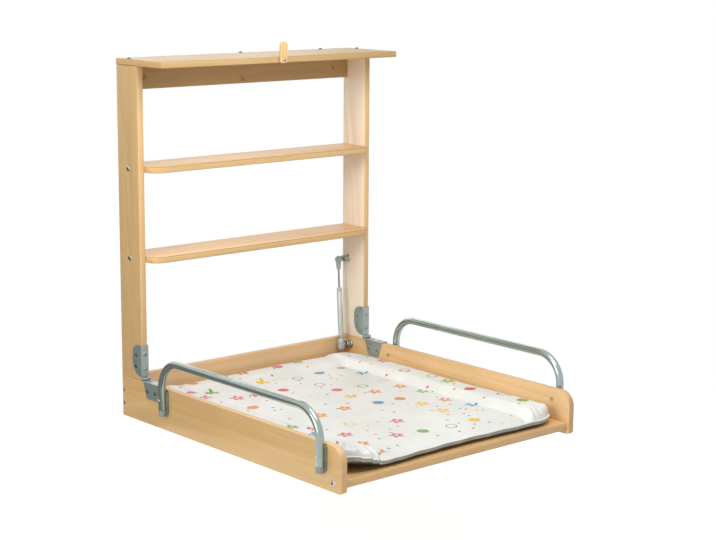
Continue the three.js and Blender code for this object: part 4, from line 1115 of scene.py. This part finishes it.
def addFloor():
    size = studio["floorSize"] / 2
    mesh = bpy.data.meshes.new("studioFloor")
    level = cadBox[0][2] - studio["floorDrop"]  # it hangs on a wall, clear of the floor
    mesh.from_pydata([(-size, -size, level), (size, -size, level), (size, size, level), (-size, size, level)], [], [(0, 1, 2, 3)])
    floor = bpy.data.objects.new("studioFloor", mesh)
    scene.collection.objects.link(floor)
    shade = Shade("studioFloor")
    tree = shade.tree
    tree.nodes.remove(shade.surface)
    place = shade.vector("MULTIPLY", shade.place().outputs["Object"], (1, 1, 0))
    away = shade.fade(shade.vector("LENGTH", shade.vector("ADD", place, (0, 0.45, 0))), studio["nearEdge"], studio["farEdge"])
    rays = shade.add("ShaderNodeLightPath").outputs
    seen = shade.sums("MAXIMUM", rays["Is Camera Ray"], shade.sums("MAXIMUM", rays["Is Glossy Ray"], rays["Is Transmission Ray"]))
    tone = studio["floorTone"]
    matte = shade.add("ShaderNodeBsdfDiffuse", {"Color": (tone, tone, tone, 1)})
    glow = shade.add("ShaderNodeEmission", {"Strength": shade.sums("MULTIPLY", seen, studio["glow"])})
    white = shade.add("ShaderNodeEmission", {"Strength": 1.0})
    lit = shade.add("ShaderNodeAddShader", {0: matte.outputs[0], 1: glow.outputs[0]})
    both = shade.add("ShaderNodeMixShader", {0: shade.sums("MULTIPLY", away, seen), 1: lit.outputs[0], 2: white.outputs[0]})
    tree.links.new(both.outputs[0], tree.nodes["Material Output"].inputs["Surface"])
    mesh.materials.append(shade.material)


def addWorld():
    world = bpy.data.worlds.new("studioWorld")
    world.use_nodes = True
    scene.world = world
    tree = world.node_tree
    rays = tree.nodes.new("ShaderNodeLightPath").outputs
    seen = tree.nodes.new("ShaderNodeMath")
    seen.operation = "MAXIMUM"
    tree.links.new(rays["Is Camera Ray"], seen.inputs[0])
    mirrored = tree.nodes.new("ShaderNodeMath")
    mirrored.operation = "MAXIMUM"
    tree.links.new(rays["Is Glossy Ray"], mirrored.inputs[0])
    tree.links.new(rays["Is Transmission Ray"], mirrored.inputs[1])
    tree.links.new(mirrored.outputs[0], seen.inputs[1])
    strength = tree.nodes.new("ShaderNodeMapRange")
    aim = tree.nodes.new("ShaderNodeTexCoord").outputs["Generated"]
    height = tree.nodes.new("ShaderNodeSeparateXYZ")
    tree.links.new(aim, height.inputs[0])
    above = tree.nodes.new("ShaderNodeMapRange")  # more light from overhead than from the sides
    above.inputs["To Min"].default_value = studio["horizon"]
    above.inputs["To Max"].default_value = studio["zenith"]
    tree.links.new(height.outputs["Z"], above.inputs["Value"])
    tree.links.new(above.outputs[0], strength.inputs["To Min"])
    strength.inputs["To Max"].default_value = 1.0
    tree.links.new(seen.outputs[0], strength.inputs["Value"])
    sky = tree.nodes["Background"]
    sky.inputs["Color"].default_value = (1, 1, 1, 1)
    tree.links.new(strength.outputs[0], sky.inputs["Strength"])


def addFlags():
    shade = Shade("studioFlag")
    black = shade.done(Base_Color=(0.22, 0.22, 0.22, 1), Roughness=1.0)
    for p in studio["flags"]:
        points = [(x, y, p["low"]) for x, y in p["corners"]]
        if "high" in p:
            points += [(x, y, p["high"]) for x, y in reversed(p["corners"])]
        mesh = bpy.data.meshes.new("studioFlag")
        mesh.from_pydata(points, [], [tuple(range(4))])
        mesh.materials.append(black)
        card = bpy.data.objects.new("studioFlag", mesh)
        scene.collection.objects.link(card)
        for ray in ("camera", "diffuse", "transmission", "volume_scatter", "shadow"):
            setattr(card, f"visible_{ray}", False)


addFloor()
addFlags()
addWorld()
for name in ("key", "top", "left", "back"):
    addLamp(name)
print("studio lit")
